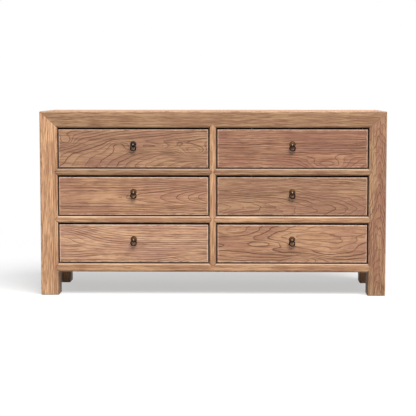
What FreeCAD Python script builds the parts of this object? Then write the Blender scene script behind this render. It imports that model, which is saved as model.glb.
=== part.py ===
import FreeCAD, Part

import math
import os
import re

import Sketcher

# Six-drawer dresser of solid wood: four posts, a mitred top frame, beaked rails and ring pulls.
# Lengths are in millimetres. +X is to the right, +Y to the back, +Z up, and the floor is at zero.

SIZES = {
    # Case, as seen from the front
    "case_width": 1600.0,
    "case_depth": 450.0,
    "leg_clearance": 109.0,
    "bottom_rail_height": 42.0,
    "drawer_opening_height": 185.5,
    "drawer_rail_height": 35.0,
    "top_rail_height": 77.5,
    "post_width": 84.0,
    "post_depth": 84.0,
    "centre_stile_width": 36.0,
    "frame_rail_depth": 60.0,
    # Rounded edges: worn outer arrises, the moulded edge round each opening, and the foot ends
    "arris_round": 6.0,
    "profile_round": 11.0,
    "foot_round": 5.5,
    # Joinery of the frame
    "beak_depth": 14.0,
    "beak_tip_flat": 1.0,
    "tenon_length": 30.0,
    "tenon_thickness": 12.0,
    "tenon_width": 26.0,
    "tenon_inset": 22.0,
    "tenon_web": 4.0,
    "corner_tenon_size": 26.0,
    "corner_tenon_cover": 22.0,
    "cut_overrun": 5.0,
    # Top
    "top_board_thickness": 20.0,
    "top_rebate": 12.0,
    "board_gap": 0.6,
    "batten_width": 45.0,
    "batten_height": 28.0,
    "batten_housing": 14.0,
    # Sides and back
    "side_rail_thickness": 44.0,
    "panel_thickness": 14.0,
    "panel_recess": 14.0,
    "panel_groove": 9.0,
    "back_board_thickness": 12.0,
    "back_recess": 2.0,
    "back_rebate": 12.0,
    "back_stile_depth": 40.0,
    # Runners and stops
    "runner_thickness": 20.0,
    "runner_ledge_width": 26.0,
    "runner_backing": 30.0,
    "runner_shoulder": 6.0,
    "runner_tenon": 10.0,
    "runner_clearance": 0.3,
    "guide_height": 26.0,
    "guide_clearance": 1.0,
    "stop_width": 40.0,
    "stop_length": 18.0,
    "stop_thickness": 7.0,
    # Drawers
    "front_recess": 4.0,
    "front_thickness": 22.0,
    "front_ease": 3.0,
    "front_side_gap": 3.0,
    "front_bottom_gap": 3.0,
    "front_top_gap": 6.0,
    "drawer_side_thickness": 14.0,
    "drawer_headroom": 34.0,
    "drawer_rear_gap": 24.0,
    "drawer_back_thickness": 14.0,
    "drawer_back_inset": 12.0,
    "drawer_back_drop": 8.0,
    "drawer_bottom_thickness": 8.0,
    "drawer_bottom_rise": 12.0,
    "drawer_groove": 6.0,
    "dovetail_lap": 14.0,
    # Ring pulls
    "pull_rise": 20.0,
    "plate_radius": 14.4,
    "plate_rim_width": 2.2,
    "plate_rim_thickness": 1.6,
    "plate_dome_rise": 3.0,
    "neck_radius": 4.0,
    "neck_seat": 1.2,
    "neck_clearance": 0.5,
    "eye_drop": 5.0,
    "eye_thickness": 5.5,
    "eye_wall": 1.85,
    "eye_gap": 0.2,
    "ring_radius": 12.2,
    "ring_wire_radius": 3.0,
    "ring_clearance": 0.6,
    "shank_radius": 2.5,
    "shank_clearance": 0.2,
    "shank_end": 2.0,
    "nut_radius": 5.5,
    "nut_thickness": 4.5,
}

ROWS = ("lower", "middle", "upper")
TOP_BOARD_COUNT = 3
BACK_BOARD_COUNT = 8
TAIL_COUNT = 3
NUT_SIDES = 6

# Places along a length, as shares of it
BATTEN_SHARES = (-0.3, 0.0, 0.3)
STOP_SHARES = (-0.3, 0.3)
TAIL_ROOT_SHARES = (0.26, 0.74)
TAIL_TIP_SHARES = (0.14, 0.86)
EDGE_MATCH_SHARE = 1e-6

# Heights, worked out from the driving sizes
RAIL_TOP = "(leg_clearance + bottom_rail_height)"
ROW_PITCH = "(drawer_opening_height + drawer_rail_height)"
UNDER_TOP = f"({RAIL_TOP} + {len(ROWS)} * {ROW_PITCH} - drawer_rail_height)"
CASE_HEIGHT = f"({UNDER_TOP} + top_rail_height)"
BOARD_SEAT = f"({CASE_HEIGHT} - top_board_thickness)"

# How far a pull stands out, and the case's front and back, set so that the whole is centred on the origin
EYE_BORE = "(ring_wire_radius + ring_clearance)"
EYE_RADIUS = f"({EYE_BORE} + eye_wall)"
RING_STANDOFF = f"(plate_rim_thickness + plate_dome_rise + eye_gap + {EYE_RADIUS})"
PULL_REACH = f"({RING_STANDOFF} + {EYE_RADIUS} - front_recess)"
FRONT = f"(({PULL_REACH} - case_depth) / 2)"
BACK = f"(({PULL_REACH} + case_depth) / 2)"
FRONT_POST_BACK = f"({FRONT} + post_depth)"
BACK_POST_FRONT = f"({BACK} - post_depth)"
DRAWER_FACE = f"({FRONT} + front_recess)"
DRAWER_FRONT_BACK = f"({DRAWER_FACE} + front_thickness)"
BOARD_BACK = f"({BACK} - back_recess)"
BOARD_FACE = f"({BOARD_BACK} - back_board_thickness)"
BACK_STILE_FRONT = f"({BOARD_FACE} - back_stile_depth)"
DRAWER_END = f"({BOARD_FACE} - drawer_rear_gap)"

# Widths of the left half, which the right half mirrors
LEFT = "(-case_width / 2)"
POST_INNER = f"({LEFT} + post_width)"
STILE_EDGE = "(-centre_stile_width / 2)"
STILE_TENON = "(centre_stile_width / 2 - tenon_web)"
DRAWER_LEFT = f"({POST_INNER} + front_side_gap)"
DRAWER_RIGHT = f"({STILE_EDGE} - front_side_gap)"
DRAWER_CENTRE = f"(({DRAWER_LEFT} + {DRAWER_RIGHT}) / 2)"

# Sketch planes by the axis that each one faces
PLANE_FACING = {"x": "YZ_Plane", "y": "XZ_Plane", "z": "XY_Plane"}

doc = FreeCAD.newDocument("dresser")
sheet = doc.addObject("Spreadsheet::Sheet", "Sizes")
for row, (alias, size) in enumerate(SIZES.items(), start=1):
    sheet.set(f"A{row}", alias)
    sheet.set(f"B{row}", str(size))
    sheet.setAlias(f"B{row}", alias)
doc.recompute()

pieces = []


def in_sheet(expression):
    """Point each size named in an expression at its cell of the sheet."""
    return re.sub(r"[a-z]\w*", lambda word: f"Sizes.{word[0]}" if word[0] in SIZES else word[0], expression)


def bind(item, **expressions):
    """Tie properties of an object to sizes; Base_x and the like stand for its place."""
    for name, expression in expressions.items():
        path = name.replace("Base_", "Placement.Base.")
        item.setExpression(path, in_sheet(expression))


def keep(item):
    """List an object as one of the dresser's own pieces."""
    pieces.append(item)
    return item


def block(name, x, y, z):
    """Make a box from its (low, high) limits along each axis."""
    box = doc.addObject("Part::Box", name)
    bind(box, Base_x=x[0], Base_y=y[0], Base_z=z[0])
    bind(box, Length=f"{x[1]} - {x[0]}", Width=f"{y[1]} - {y[0]}", Height=f"{z[1]} - {z[0]}")
    return box


def draw_outline(sketch, points):
    """Draw a closed outline whose every point is tied to sizes."""
    count = len(points)
    turns = [2 * math.pi * number / count for number in range(count)]
    start = [FreeCAD.Vector(math.cos(turn), math.sin(turn), 0) for turn in turns]
    for number in range(count):
        sketch.addGeometry(Part.LineSegment(start[number], start[(number + 1) % count]))
    for number in range(count):
        sketch.addConstraint(Sketcher.Constraint("Coincident", number, 2, (number + 1) % count, 1))
    for number, point in enumerate(points):
        places = (("DistanceX", start[number].x, point[0]), ("DistanceY", start[number].y, point[1]))
        for kind, value, expression in places:
            index = sketch.addConstraint(Sketcher.Constraint(kind, -1, 1, number, 1, value))
            sketch.setExpression(f"Constraints[{index}]", in_sheet(expression))


def prism(name, facing, points, low, high):
    """Pad an outline along the axis that it faces, from low to high."""
    body = doc.addObject("PartDesign::Body", name)
    sketch = body.newObject("Sketcher::SketchObject", f"{name}_outline")
    planes = body.Origin.OriginFeatures
    plane = next(item for item in planes if getattr(item, "Role", "") == PLANE_FACING[facing])
    sketch.AttachmentSupport = [(plane, "")]
    sketch.MapMode = "FlatFace"
    draw_outline(sketch, points)
    pad = body.newObject("PartDesign::Pad", f"{name}_pad")
    pad.Profile = sketch
    pad.Reversed = facing == "y"
    bind(pad, Length=f"{high} - {low}")
    bind(body, **{f"Base_{facing}": low})
    return body


def rectangle(u, v):
    """List the corners of a rectangle from its (low, high) limits."""
    return [(u[0], v[0]), (u[1], v[0]), (u[1], v[1]), (u[0], v[1])]


def edges_at(shape, limits):
    """Name the edges that lie on the shape's own limits, such as {"y": "low"}."""
    box = shape.BoundBox
    slack = EDGE_MATCH_SHARE * box.DiagonalLength
    names = []
    for number, edge in enumerate(shape.Edges, start=1):
        near = edge.BoundBox
        misses = 0.0
        for axis, side in limits.items():
            letter = axis.upper()
            bound = getattr(box, letter + ("Min" if side == "low" else "Max"))
            misses = max(misses, abs(getattr(near, f"{letter}Min") - bound))
            misses = max(misses, abs(getattr(near, f"{letter}Max") - bound))
        if misses < slack:
            names.append(f"Edge{number}")
    return names


def round_edges(body, radius, *places):
    """Round the edges of a body that lie at the given limits of its box."""
    doc.recompute()
    base = body.Tip
    names = []
    for limits in places:
        names += edges_at(base.Shape, limits)
    fillet = body.newObject("PartDesign::Fillet", f"{body.Name}_round")
    fillet.Base = (base, names)
    bind(fillet, Radius=radius)
    body.Tip = fillet
    return body


def join(name, *items):
    """Fuse objects into one."""
    fused = doc.addObject("Part::MultiFuse", name)
    fused.Shapes = list(items)
    fused.Refine = True
    return fused


def overlap(name, *items):
    """Keep only what the objects have in common."""
    common = items[0]
    for number, item in enumerate(items[1:], start=1):
        last = number == len(items) - 1
        step = doc.addObject("Part::Common", name if last else f"{name}_step{number}")
        step.Base = common
        step.Tool = item
        common = step
    common.Refine = True
    return common


def cut(name, base, *tools):
    """Take the tools away from an object."""
    result = doc.addObject("Part::Cut", name)
    result.Base = base
    result.Tool = tools[0] if len(tools) == 1 else join(f"{name}_cutters", *tools)
    result.Refine = True
    return result


def group(name, *items):
    """Hold several separate solids in one piece."""
    compound = doc.addObject("Part::Compound", name)
    compound.Links = list(items)
    return compound


def mirror(name, source):
    """Copy an object to the other side of the middle plane."""
    copy = doc.addObject("Part::Mirroring", name)
    copy.Source = source
    copy.Normal = (1, 0, 0)
    return copy


def turned(item, x, y, z):
    """Lay a round object along the depth of the case, at a place tied to sizes."""
    item.Placement.Rotation = FreeCAD.Rotation(FreeCAD.Vector(1, 0, 0), 90)
    bind(item, Base_x=x, Base_y=y, Base_z=z)
    return item


def rod(name, radius, x, z, front, back):
    """Make a cylinder that runs from front to back."""
    cylinder = doc.addObject("Part::Cylinder", name)
    bind(cylinder, Radius=radius, Height=f"{back} - {front}")
    return turned(cylinder, x, back, z)


def row_base(number):
    """Give the height of the surface that a row's drawers run on."""
    return f"({RAIL_TOP} + {number} * {ROW_PITCH})"


def beak_points(edge, sign, low, high, reach):
    """Outline a pointed rail end with 45-degree sides: it leaves an edge and narrows to a small flat."""
    inside = f"({edge} - {sign} * cut_overrun)"
    tip = f"({edge} + {sign} * {reach})"
    tip_low = f"({low} + {reach})"
    tip_high = f"({high} - {reach})"
    return [(inside, low), (edge, low), (tip, tip_low), (tip, tip_high), (edge, high), (inside, high)]


def post_reach(height):
    """Length of a beak that laps a post."""
    return f"({height} / 2 - beak_tip_flat)"


def swapped(points):
    """Turn an outline from across to upright."""
    return [(second, first) for first, second in points]


# Tools that shape two neighbours alike: what is left on one piece is cut from the other

LOWER_RAIL = ("leg_clearance", RAIL_TOP)
STILE_SPAN = (STILE_EDGE, "(centre_stile_width / 2)")
BEAK_SPAN = (f"({FRONT} - cut_overrun)", f"({FRONT} + beak_depth)")
FRONT_TENON_SPAN = (f"({FRONT} + tenon_inset)", f"({FRONT} + tenon_inset + tenon_width)")
BACK_TENON_SPAN = (f"({BACK} - tenon_inset - tenon_width)", f"({BACK} - tenon_inset)")
STILE_REACH = "(centre_stile_width / 2 - beak_tip_flat)"
CROSSING_REACH = "(min(drawer_rail_height; centre_stile_width) / 2 - beak_tip_flat)"


def rail_span(number):
    """Heights of the drawer rail above a row."""
    high = row_base(number + 1)
    return (f"({high} - drawer_rail_height)", high)


def middle_span(span, width):
    """Limits of a stretch of the given width in the middle of a span."""
    centre = f"({span[0]} + {span[1]}) / 2"
    return (f"({centre} - {width} / 2)", f"({centre} + {width} / 2)")


def frame_tenon(name, span, depth_span):
    """Tenon that goes from a cross rail into the left post."""
    across = (f"({POST_INNER} - tenon_length)", f"({POST_INNER} + cut_overrun)")
    return block(name, across, depth_span, middle_span(span, "tenon_thickness"))


def front_beak(name, edge, sign, span, reach):
    """Beak of a cross rail in the front of the case."""
    return prism(name, "y", beak_points(edge, sign, span[0], span[1], reach), *BEAK_SPAN)


lower_beak = front_beak("lower_beak", POST_INNER, -1, LOWER_RAIL, post_reach("bottom_rail_height"))
lower_tenon = frame_tenon("lower_tenon", LOWER_RAIL, FRONT_TENON_SPAN)
back_tenon = frame_tenon("back_tenon", LOWER_RAIL, BACK_TENON_SPAN)
rail_numbers = range(len(ROWS) - 1)
post_beaks = []
post_tenons = []
stile_beaks = []
stile_tenons = []
for number in rail_numbers:
    span = rail_span(number)
    reach = post_reach("drawer_rail_height")
    post_beaks.append(front_beak(f"post_beak{number}", POST_INNER, -1, span, reach))
    post_tenons.append(frame_tenon(f"post_tenon{number}", span, FRONT_TENON_SPAN))
    stile_beaks.append(front_beak(f"stile_beak{number}", STILE_EDGE, 1, span, CROSSING_REACH))
    across = (f"({STILE_EDGE} - cut_overrun)", f"({STILE_EDGE} + {STILE_TENON})")
    tenon = block(f"stile_tenon{number}", across, FRONT_TENON_SPAN, middle_span(span, "tenon_thickness"))
    stile_tenons.append(tenon)

head_points = swapped(beak_points(UNDER_TOP, 1, *STILE_SPAN, STILE_REACH))
sill_points = swapped(beak_points(RAIL_TOP, -1, *STILE_SPAN, STILE_REACH))
stile_head = prism("stile_head", "y", head_points, *BEAK_SPAN)
stile_sill = prism("stile_sill", "y", sill_points, *BEAK_SPAN)
STILE_HEIGHT = (f"({RAIL_TOP} - {STILE_TENON})", f"({UNDER_TOP} + {STILE_TENON})")
SLIM_STILE = middle_span(STILE_SPAN, "tenon_thickness")
stile_core_tenon = block("stile_core_tenon", SLIM_STILE, FRONT_TENON_SPAN, STILE_HEIGHT)
BACK_STILE_SPAN = (BACK_STILE_FRONT, BOARD_FACE)
back_core_tenon = block(
    "back_core_tenon", SLIM_STILE, middle_span(BACK_STILE_SPAN, "tenon_width"), STILE_HEIGHT
)

CORNER_X = middle_span((LEFT, POST_INNER), "corner_tenon_size")
CORNER_Z = (f"({UNDER_TOP} - cut_overrun)", f"({CASE_HEIGHT} - corner_tenon_cover)")
front_corner_tenon = block(
    "front_corner_tenon", CORNER_X, middle_span((FRONT, FRONT_POST_BACK), "corner_tenon_size"), CORNER_Z
)
back_corner_tenon = block(
    "back_corner_tenon", CORNER_X, middle_span((BACK_POST_FRONT, BACK), "corner_tenon_size"), CORNER_Z
)

# Side rails: the same beaks and tenons, turned to run from front to back
SIDE_BEAK_SPAN = (f"({LEFT} - cut_overrun)", f"({LEFT} + beak_depth)")
SIDE_TENON_SPAN = (f"({LEFT} + tenon_inset)", f"({LEFT} + tenon_inset + tenon_thickness)")
SIDE_REACH = post_reach("bottom_rail_height")
side_front_beak = prism(
    "side_front_beak", "x", beak_points(FRONT_POST_BACK, -1, *LOWER_RAIL, SIDE_REACH), *SIDE_BEAK_SPAN
)
side_back_beak = prism(
    "side_back_beak", "x", beak_points(BACK_POST_FRONT, 1, *LOWER_RAIL, SIDE_REACH), *SIDE_BEAK_SPAN
)
SIDE_TENON_LENGTH = (f"({FRONT_POST_BACK} - tenon_length)", f"({BACK_POST_FRONT} + tenon_length)")
side_tenon = block(
    "side_tenon", SIDE_TENON_SPAN, SIDE_TENON_LENGTH, middle_span(LOWER_RAIL, "tenon_thickness")
)

# Side panel, which stands in grooves, and the spaces that the top and back boards fill
left_panel = block(
    "left_side_panel",
    (f"({LEFT} + panel_recess)", f"({LEFT} + panel_recess + panel_thickness)"),
    (f"({FRONT_POST_BACK} - panel_groove)", f"({BACK_POST_FRONT} + panel_groove)"),
    (f"({RAIL_TOP} - panel_groove)", f"({UNDER_TOP} + panel_groove)"),
)
TOP_HALF = f"({POST_INNER} - top_rebate)"
TOP_Y = (f"({FRONT_POST_BACK} - top_rebate)", f"({BACK_POST_FRONT} + top_rebate)")
top_space = block(
    "top_space", (TOP_HALF, f"(-{TOP_HALF})"), TOP_Y, (BOARD_SEAT, f"({CASE_HEIGHT} + cut_overrun)")
)
BACK_HALF = f"({POST_INNER} - back_rebate)"
BACK_Z = (f"({RAIL_TOP} - back_rebate)", f"({UNDER_TOP} + back_rebate)")
back_space = block(
    "back_space", (BACK_HALF, f"(-{BACK_HALF})"), (BOARD_FACE, f"({BACK} + cut_overrun)"), BACK_Z
)


# Runners under each row

RUNNER_OUTER = f"({POST_INNER} - runner_backing)"
RUNNER_INNER = f"({POST_INNER} + runner_ledge_width)"
GUIDE_FACE = f"({POST_INNER} + front_side_gap - guide_clearance)"
CENTRE_LEDGE = "(centre_stile_width / 2 + runner_ledge_width)"
CENTRE_GUIDE = "(centre_stile_width / 2 + front_side_gap - guide_clearance)"
CENTRE_FRONT = f"({FRONT} + frame_rail_depth)"
side_runner_tenons = []
centre_runner_tenons = []
side_runners = []
centre_runners = []
for number in range(len(ROWS)):
    top = row_base(number)
    under = f"({top} - runner_thickness)"
    guide_top = f"({top} + guide_height)"
    tenon_height = (f"({under} + runner_shoulder)", top)
    side_points = [
        (RUNNER_OUTER, under), (RUNNER_INNER, under), (RUNNER_INNER, top),
        (GUIDE_FACE, top), (GUIDE_FACE, guide_top), (RUNNER_OUTER, guide_top),
    ]
    bar = prism(f"side_runner_bar{number}", "y", side_points, FRONT_POST_BACK, BACK_POST_FRONT)
    tenon = block(
        f"side_runner_tenon{number}",
        (f"({RUNNER_OUTER} + runner_shoulder)", f"({POST_INNER} - runner_shoulder)"),
        (f"({FRONT_POST_BACK} - runner_tenon)", f"({BACK_POST_FRONT} + runner_tenon)"),
        tenon_height,
    )
    side_runner_tenons.append(tenon)
    left_runner = join(f"left_runner{number}", bar, tenon)
    side_runners += [left_runner, mirror(f"right_runner{number}", left_runner)]

    half_points = [
        (CENTRE_LEDGE, under), (CENTRE_LEDGE, top), (CENTRE_GUIDE, top), (CENTRE_GUIDE, guide_top),
    ]
    other_half = [(f"(-{across})", height) for across, height in reversed(half_points)]
    bar = prism(f"centre_runner_bar{number}", "y", half_points + other_half, CENTRE_FRONT, BACK_STILE_FRONT)
    tenon = block(
        f"centre_runner_tenon{number}",
        middle_span(STILE_SPAN, "tenon_thickness"),
        (f"({CENTRE_FRONT} - runner_tenon)", f"({BACK_STILE_FRONT} + runner_tenon)"),
        tenon_height,
    )
    centre_runner_tenons.append(tenon)
    centre_runners.append(join(f"centre_runner{number}", bar, tenon))


# Posts: a rounded bar, bounded by its front and side outlines, whose slopes are the mitre faces

def post(name, face, inward, moulded_front, cutters, corner_tenon):
    """Make a left post; face is its outer depth and inward points to the middle of the case."""
    inside = f"({face} + {inward} * post_depth)"
    low, high = (face, inside) if inward > 0 else (inside, face)
    outer_side, inner_side = ("low", "high") if inward > 0 else ("high", "low")
    bar = prism(f"{name}_bar", "z", rectangle((LEFT, POST_INNER), (low, high)), "0", CASE_HEIGHT)
    moulded = [{"x": "low", "y": inner_side}]
    worn = [{"x": "low", "y": outer_side}, {"x": "high", "y": inner_side}]
    (moulded if moulded_front else worn).append({"x": "high", "y": outer_side})
    round_edges(bar, "profile_round", *moulded)
    round_edges(bar, "arris_round", *worn)
    round_edges(bar, "foot_round", {"z": "low"})
    front_points = [
        (f"({LEFT} - cut_overrun)", "-cut_overrun"), (f"({POST_INNER} + cut_overrun)", "-cut_overrun"),
        (f"({POST_INNER} + cut_overrun)", UNDER_TOP), (POST_INNER, UNDER_TOP),
        (LEFT, CASE_HEIGHT), (f"({LEFT} - cut_overrun)", CASE_HEIGHT),
    ]
    beyond = f"({face} - {inward} * cut_overrun)"
    past = f"({inside} + {inward} * cut_overrun)"
    side_points = [
        (beyond, "-cut_overrun"), (past, "-cut_overrun"), (past, UNDER_TOP),
        (inside, UNDER_TOP), (face, CASE_HEIGHT), (beyond, CASE_HEIGHT),
    ]
    depth_limits = (f"({low} - cut_overrun)", f"({high} + cut_overrun)")
    width_limits = (f"({LEFT} - cut_overrun)", f"({POST_INNER} + cut_overrun)")
    front_outline = prism(f"{name}_front", "y", front_points, *depth_limits)
    side_outline = prism(f"{name}_side", "x", side_points, *width_limits)
    mitred = overlap(f"{name}_mitred", bar, front_outline, side_outline)
    tenoned = join(f"{name}_tenoned", mitred, corner_tenon)
    return cut(name, tenoned, left_panel, side_tenon, *side_runner_tenons, *cutters)


front_cutters = [lower_beak, lower_tenon, side_front_beak] + post_beaks + post_tenons
front_left_post = keep(post("front_left_post", FRONT, 1, True, front_cutters, front_corner_tenon))
back_cutters = [back_space, back_tenon, side_back_beak]
back_left_post = keep(post("back_left_post", BACK, -1, False, back_cutters, back_corner_tenon))
keep(mirror("front_right_post", front_left_post))
keep(mirror("back_right_post", back_left_post))


# Top frame: each rail is what its elevation and its plan have in common

battens = []
for number, share in enumerate(BATTEN_SHARES):
    middle = f"({share} * case_width)"
    battens.append(block(
        f"batten{number}",
        (f"({middle} - batten_width / 2)", f"({middle} + batten_width / 2)"),
        (f"({FRONT_POST_BACK} - batten_housing)", f"({BACK_POST_FRONT} + batten_housing)"),
        (f"({BOARD_SEAT} - batten_height)", BOARD_SEAT),
    ))
keep(group("top_battens", *battens))


def long_top_rail(name, face, inside, moulded, cutters):
    """Make the front or back rail of the top frame."""
    low, high = (face, inside) if moulded else (inside, face)
    elevation = [
        (LEFT, CASE_HEIGHT), (f"(-{LEFT})", CASE_HEIGHT),
        (f"(-{POST_INNER})", UNDER_TOP), (POST_INNER, UNDER_TOP),
    ]
    plan = [(LEFT, face), (f"(-{LEFT})", face), (f"(-{POST_INNER})", inside), (POST_INNER, inside)]
    bar = prism(f"{name}_bar", "y", elevation, low, high)
    outer_side = "low" if moulded else "high"
    round_edges(bar, "arris_round", {"y": outer_side, "z": "high"})
    if moulded:
        round_edges(bar, "profile_round", {"y": outer_side, "z": "low"})
    mitred = overlap(f"{name}_mitred", bar, prism(f"{name}_plan", "z", plan, UNDER_TOP, CASE_HEIGHT))
    return cut(name, mitred, top_space, *battens, *cutters)


right_front_tenon = mirror("right_front_tenon", front_corner_tenon)
right_back_tenon = mirror("right_back_tenon", back_corner_tenon)
front_rail_cutters = [front_corner_tenon, right_front_tenon, stile_head, stile_core_tenon]
back_rail_cutters = [back_corner_tenon, right_back_tenon, back_space, back_core_tenon]
keep(long_top_rail("front_top_rail", FRONT, FRONT_POST_BACK, True, front_rail_cutters))
keep(long_top_rail("back_top_rail", BACK, BACK_POST_FRONT, False, back_rail_cutters))

side_elevation = [
    (FRONT, CASE_HEIGHT), (BACK, CASE_HEIGHT), (BACK_POST_FRONT, UNDER_TOP), (FRONT_POST_BACK, UNDER_TOP),
]
side_plan = [(LEFT, FRONT), (LEFT, BACK), (POST_INNER, BACK_POST_FRONT), (POST_INNER, FRONT_POST_BACK)]
side_bar = prism("left_top_rail_bar", "x", side_elevation, LEFT, POST_INNER)
round_edges(side_bar, "arris_round", {"x": "low", "z": "high"})
round_edges(side_bar, "profile_round", {"x": "low", "z": "low"})
side_limit = prism("left_top_rail_plan", "z", side_plan, UNDER_TOP, CASE_HEIGHT)
side_mitred = overlap("left_top_rail_mitred", side_bar, side_limit)
side_cutters = [top_space, front_corner_tenon, back_corner_tenon, left_panel]
left_top_rail = keep(cut("left_top_rail", side_mitred, *side_cutters))
keep(mirror("right_top_rail", left_top_rail))


def boards(name, count, low, high, place):
    """Split a width into boards with a shadow gap between them; place makes one from its limits."""
    width = f"(({high} - {low} - {count - 1} * board_gap) / {count})"
    planks = []
    for number in range(count):
        start = f"({low} + {number} * ({width} + board_gap))"
        planks.append(place(f"{name}_{number}", (start, f"({start} + {width})")))
    return keep(group(name, *planks))


def top_board(name, depth_span):
    """Make one board of the top, which runs the length of the case."""
    return block(name, (TOP_HALF, f"(-{TOP_HALF})"), depth_span, (BOARD_SEAT, CASE_HEIGHT))


def back_board(name, width_span):
    """Make one upright board of the back."""
    return block(name, width_span, (BOARD_FACE, BOARD_BACK), BACK_Z)


boards("top_boards", TOP_BOARD_COUNT, *TOP_Y, top_board)
boards("back_boards", BACK_BOARD_COUNT, BACK_HALF, f"(-{BACK_HALF})", back_board)


# Front frame between the posts

FRAME_Y = (FRONT, f"({FRONT} + frame_rail_depth)")


def beaked_rail(name, span, height, core_span, ends):
    """Make a cross rail with a moulded front and a beak at each end."""
    length = (f"({core_span[0]} - {height} / 2)", f"({core_span[1]} + {height} / 2)")
    bar = prism(f"{name}_bar", "x", rectangle(FRAME_Y, span), *length)
    round_edges(bar, "profile_round", {"y": "low", "z": "low"}, {"y": "low", "z": "high"})
    limits = join(f"{name}_limits", block(f"{name}_core", core_span, FRAME_Y, span), *ends)
    return overlap(f"{name}_beaked", bar, limits)


right_beak = mirror("right_lower_beak", lower_beak)
right_tenon = mirror("right_lower_tenon", lower_tenon)
FRAME_WIDTH = (POST_INNER, f"(-{POST_INNER})")
beaked = beaked_rail("lower_rail", LOWER_RAIL, "bottom_rail_height", FRAME_WIDTH, [lower_beak, right_beak])
lower_rail = join("lower_rail_tenoned", beaked, lower_tenon, right_tenon)
keep(cut("front_bottom_rail", lower_rail, stile_sill, stile_core_tenon, centre_runner_tenons[0]))

left_rails = []
for number in rail_numbers:
    ends = [post_beaks[number], stile_beaks[number]]
    half_width = (POST_INNER, STILE_EDGE)
    beaked = beaked_rail(f"left_rail{number}", rail_span(number), "drawer_rail_height", half_width, ends)
    left_rails.append(join(f"left_rail{number}", beaked, post_tenons[number], stile_tenons[number]))
left_drawer_rails = keep(group("left_drawer_rails", *left_rails))
keep(mirror("right_drawer_rails", left_drawer_rails))

stile_length = (f"({RAIL_TOP} - centre_stile_width / 2)", f"({UNDER_TOP} + centre_stile_width / 2)")
stile_bar = prism("stile_bar", "z", rectangle(STILE_SPAN, FRAME_Y), *stile_length)
round_edges(stile_bar, "profile_round", {"x": "low", "y": "low"}, {"x": "high", "y": "low"})
stile_core = block("stile_core", STILE_SPAN, FRAME_Y, (RAIL_TOP, UNDER_TOP))
stile_limits = join("stile_limits", stile_core, stile_head, stile_sill)
stile_beaked = overlap("stile_beaked", stile_bar, stile_limits)
stile = join("stile", stile_beaked, stile_core_tenon)
crossing_cutters = stile_beaks + stile_tenons
right_cutters = [mirror(f"right_{item.Name}", item) for item in crossing_cutters]
keep(cut("centre_stile", stile, *crossing_cutters, *right_cutters, *centre_runner_tenons))


# Sides and back

side_rail_x = (LEFT, f"({LEFT} + side_rail_thickness)")
side_core_span = (FRONT_POST_BACK, BACK_POST_FRONT)
side_rail_length = (
    f"({FRONT_POST_BACK} - bottom_rail_height / 2)", f"({BACK_POST_FRONT} + bottom_rail_height / 2)"
)
side_rail_bar = prism("side_rail_bar", "y", rectangle(side_rail_x, LOWER_RAIL), *side_rail_length)
round_edges(side_rail_bar, "profile_round", {"x": "low", "z": "low"}, {"x": "low", "z": "high"})
side_core = block("side_rail_core", side_rail_x, side_core_span, LOWER_RAIL)
side_limits = join("side_rail_limits", side_core, side_front_beak, side_back_beak)
side_beaked = overlap("side_rail_beaked", side_rail_bar, side_limits)
side_tenoned = join("side_rail_tenoned", side_beaked, side_tenon)
left_bottom_rail = keep(cut("left_bottom_rail", side_tenoned, left_panel))
keep(mirror("right_bottom_rail", left_bottom_rail))
keep(left_panel)
keep(mirror("right_side_panel", left_panel))

back_rail = block("back_rail", FRAME_WIDTH, (f"({BACK} - frame_rail_depth)", BACK), LOWER_RAIL)
right_back_rail_tenon = mirror("right_back_rail_tenon", back_tenon)
back_rail_tenoned = join("back_rail_tenoned", back_rail, back_tenon, right_back_rail_tenon)
keep(cut("back_bottom_rail", back_rail_tenoned, back_space, back_core_tenon, centre_runners[0]))
back_stile = block("back_stile_core", STILE_SPAN, BACK_STILE_SPAN, (RAIL_TOP, UNDER_TOP))
back_stile_tenoned = join("back_stile_tenoned", back_stile, back_core_tenon)
keep(cut("back_stile", back_stile_tenoned, *centre_runner_tenons))

keep(group("side_runners", *side_runners))
keep(group("centre_runners", *centre_runners))


# Drawer stops: two pads on the rail behind each drawer front

stops = []
for number in range(len(ROWS)):
    for count, share in enumerate(STOP_SHARES):
        middle = f"({DRAWER_CENTRE} + {share} * ({DRAWER_RIGHT} - {DRAWER_LEFT}))"
        left_stop = block(
            f"left_stop{number}{count}",
            (f"({middle} - stop_width / 2)", f"({middle} + stop_width / 2)"),
            (DRAWER_FRONT_BACK, f"({DRAWER_FRONT_BACK} + stop_length)"),
            (row_base(number), f"({row_base(number)} + stop_thickness)"),
        )
        stops += [left_stop, mirror(f"right_stop{number}{count}", left_stop)]
keep(group("drawer_stops", *stops))


# Drawers: dovetailed sides, back and bottom, and a ring pull on each front

def side_outline(foot, height):
    """Outline a drawer side: a board whose front end is cut into dovetail tails."""
    points = [(DRAWER_END, foot), (DRAWER_FRONT_BACK, foot)]
    root = DRAWER_FRONT_BACK
    tip = f"({root} - dovetail_lap)"
    pitch = f"({height} / {TAIL_COUNT})"
    for number in range(TAIL_COUNT):
        root_low, root_high = [f"({foot} + {number + share} * {pitch})" for share in TAIL_ROOT_SHARES]
        tip_low, tip_high = [f"({foot} + {number + share} * {pitch})" for share in TAIL_TIP_SHARES]
        points += [(root, root_low), (tip, tip_low), (tip, tip_high), (root, root_high)]
    top = f"({foot} + {height})"
    return points + [(DRAWER_FRONT_BACK, top), (DRAWER_END, top)]


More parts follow.
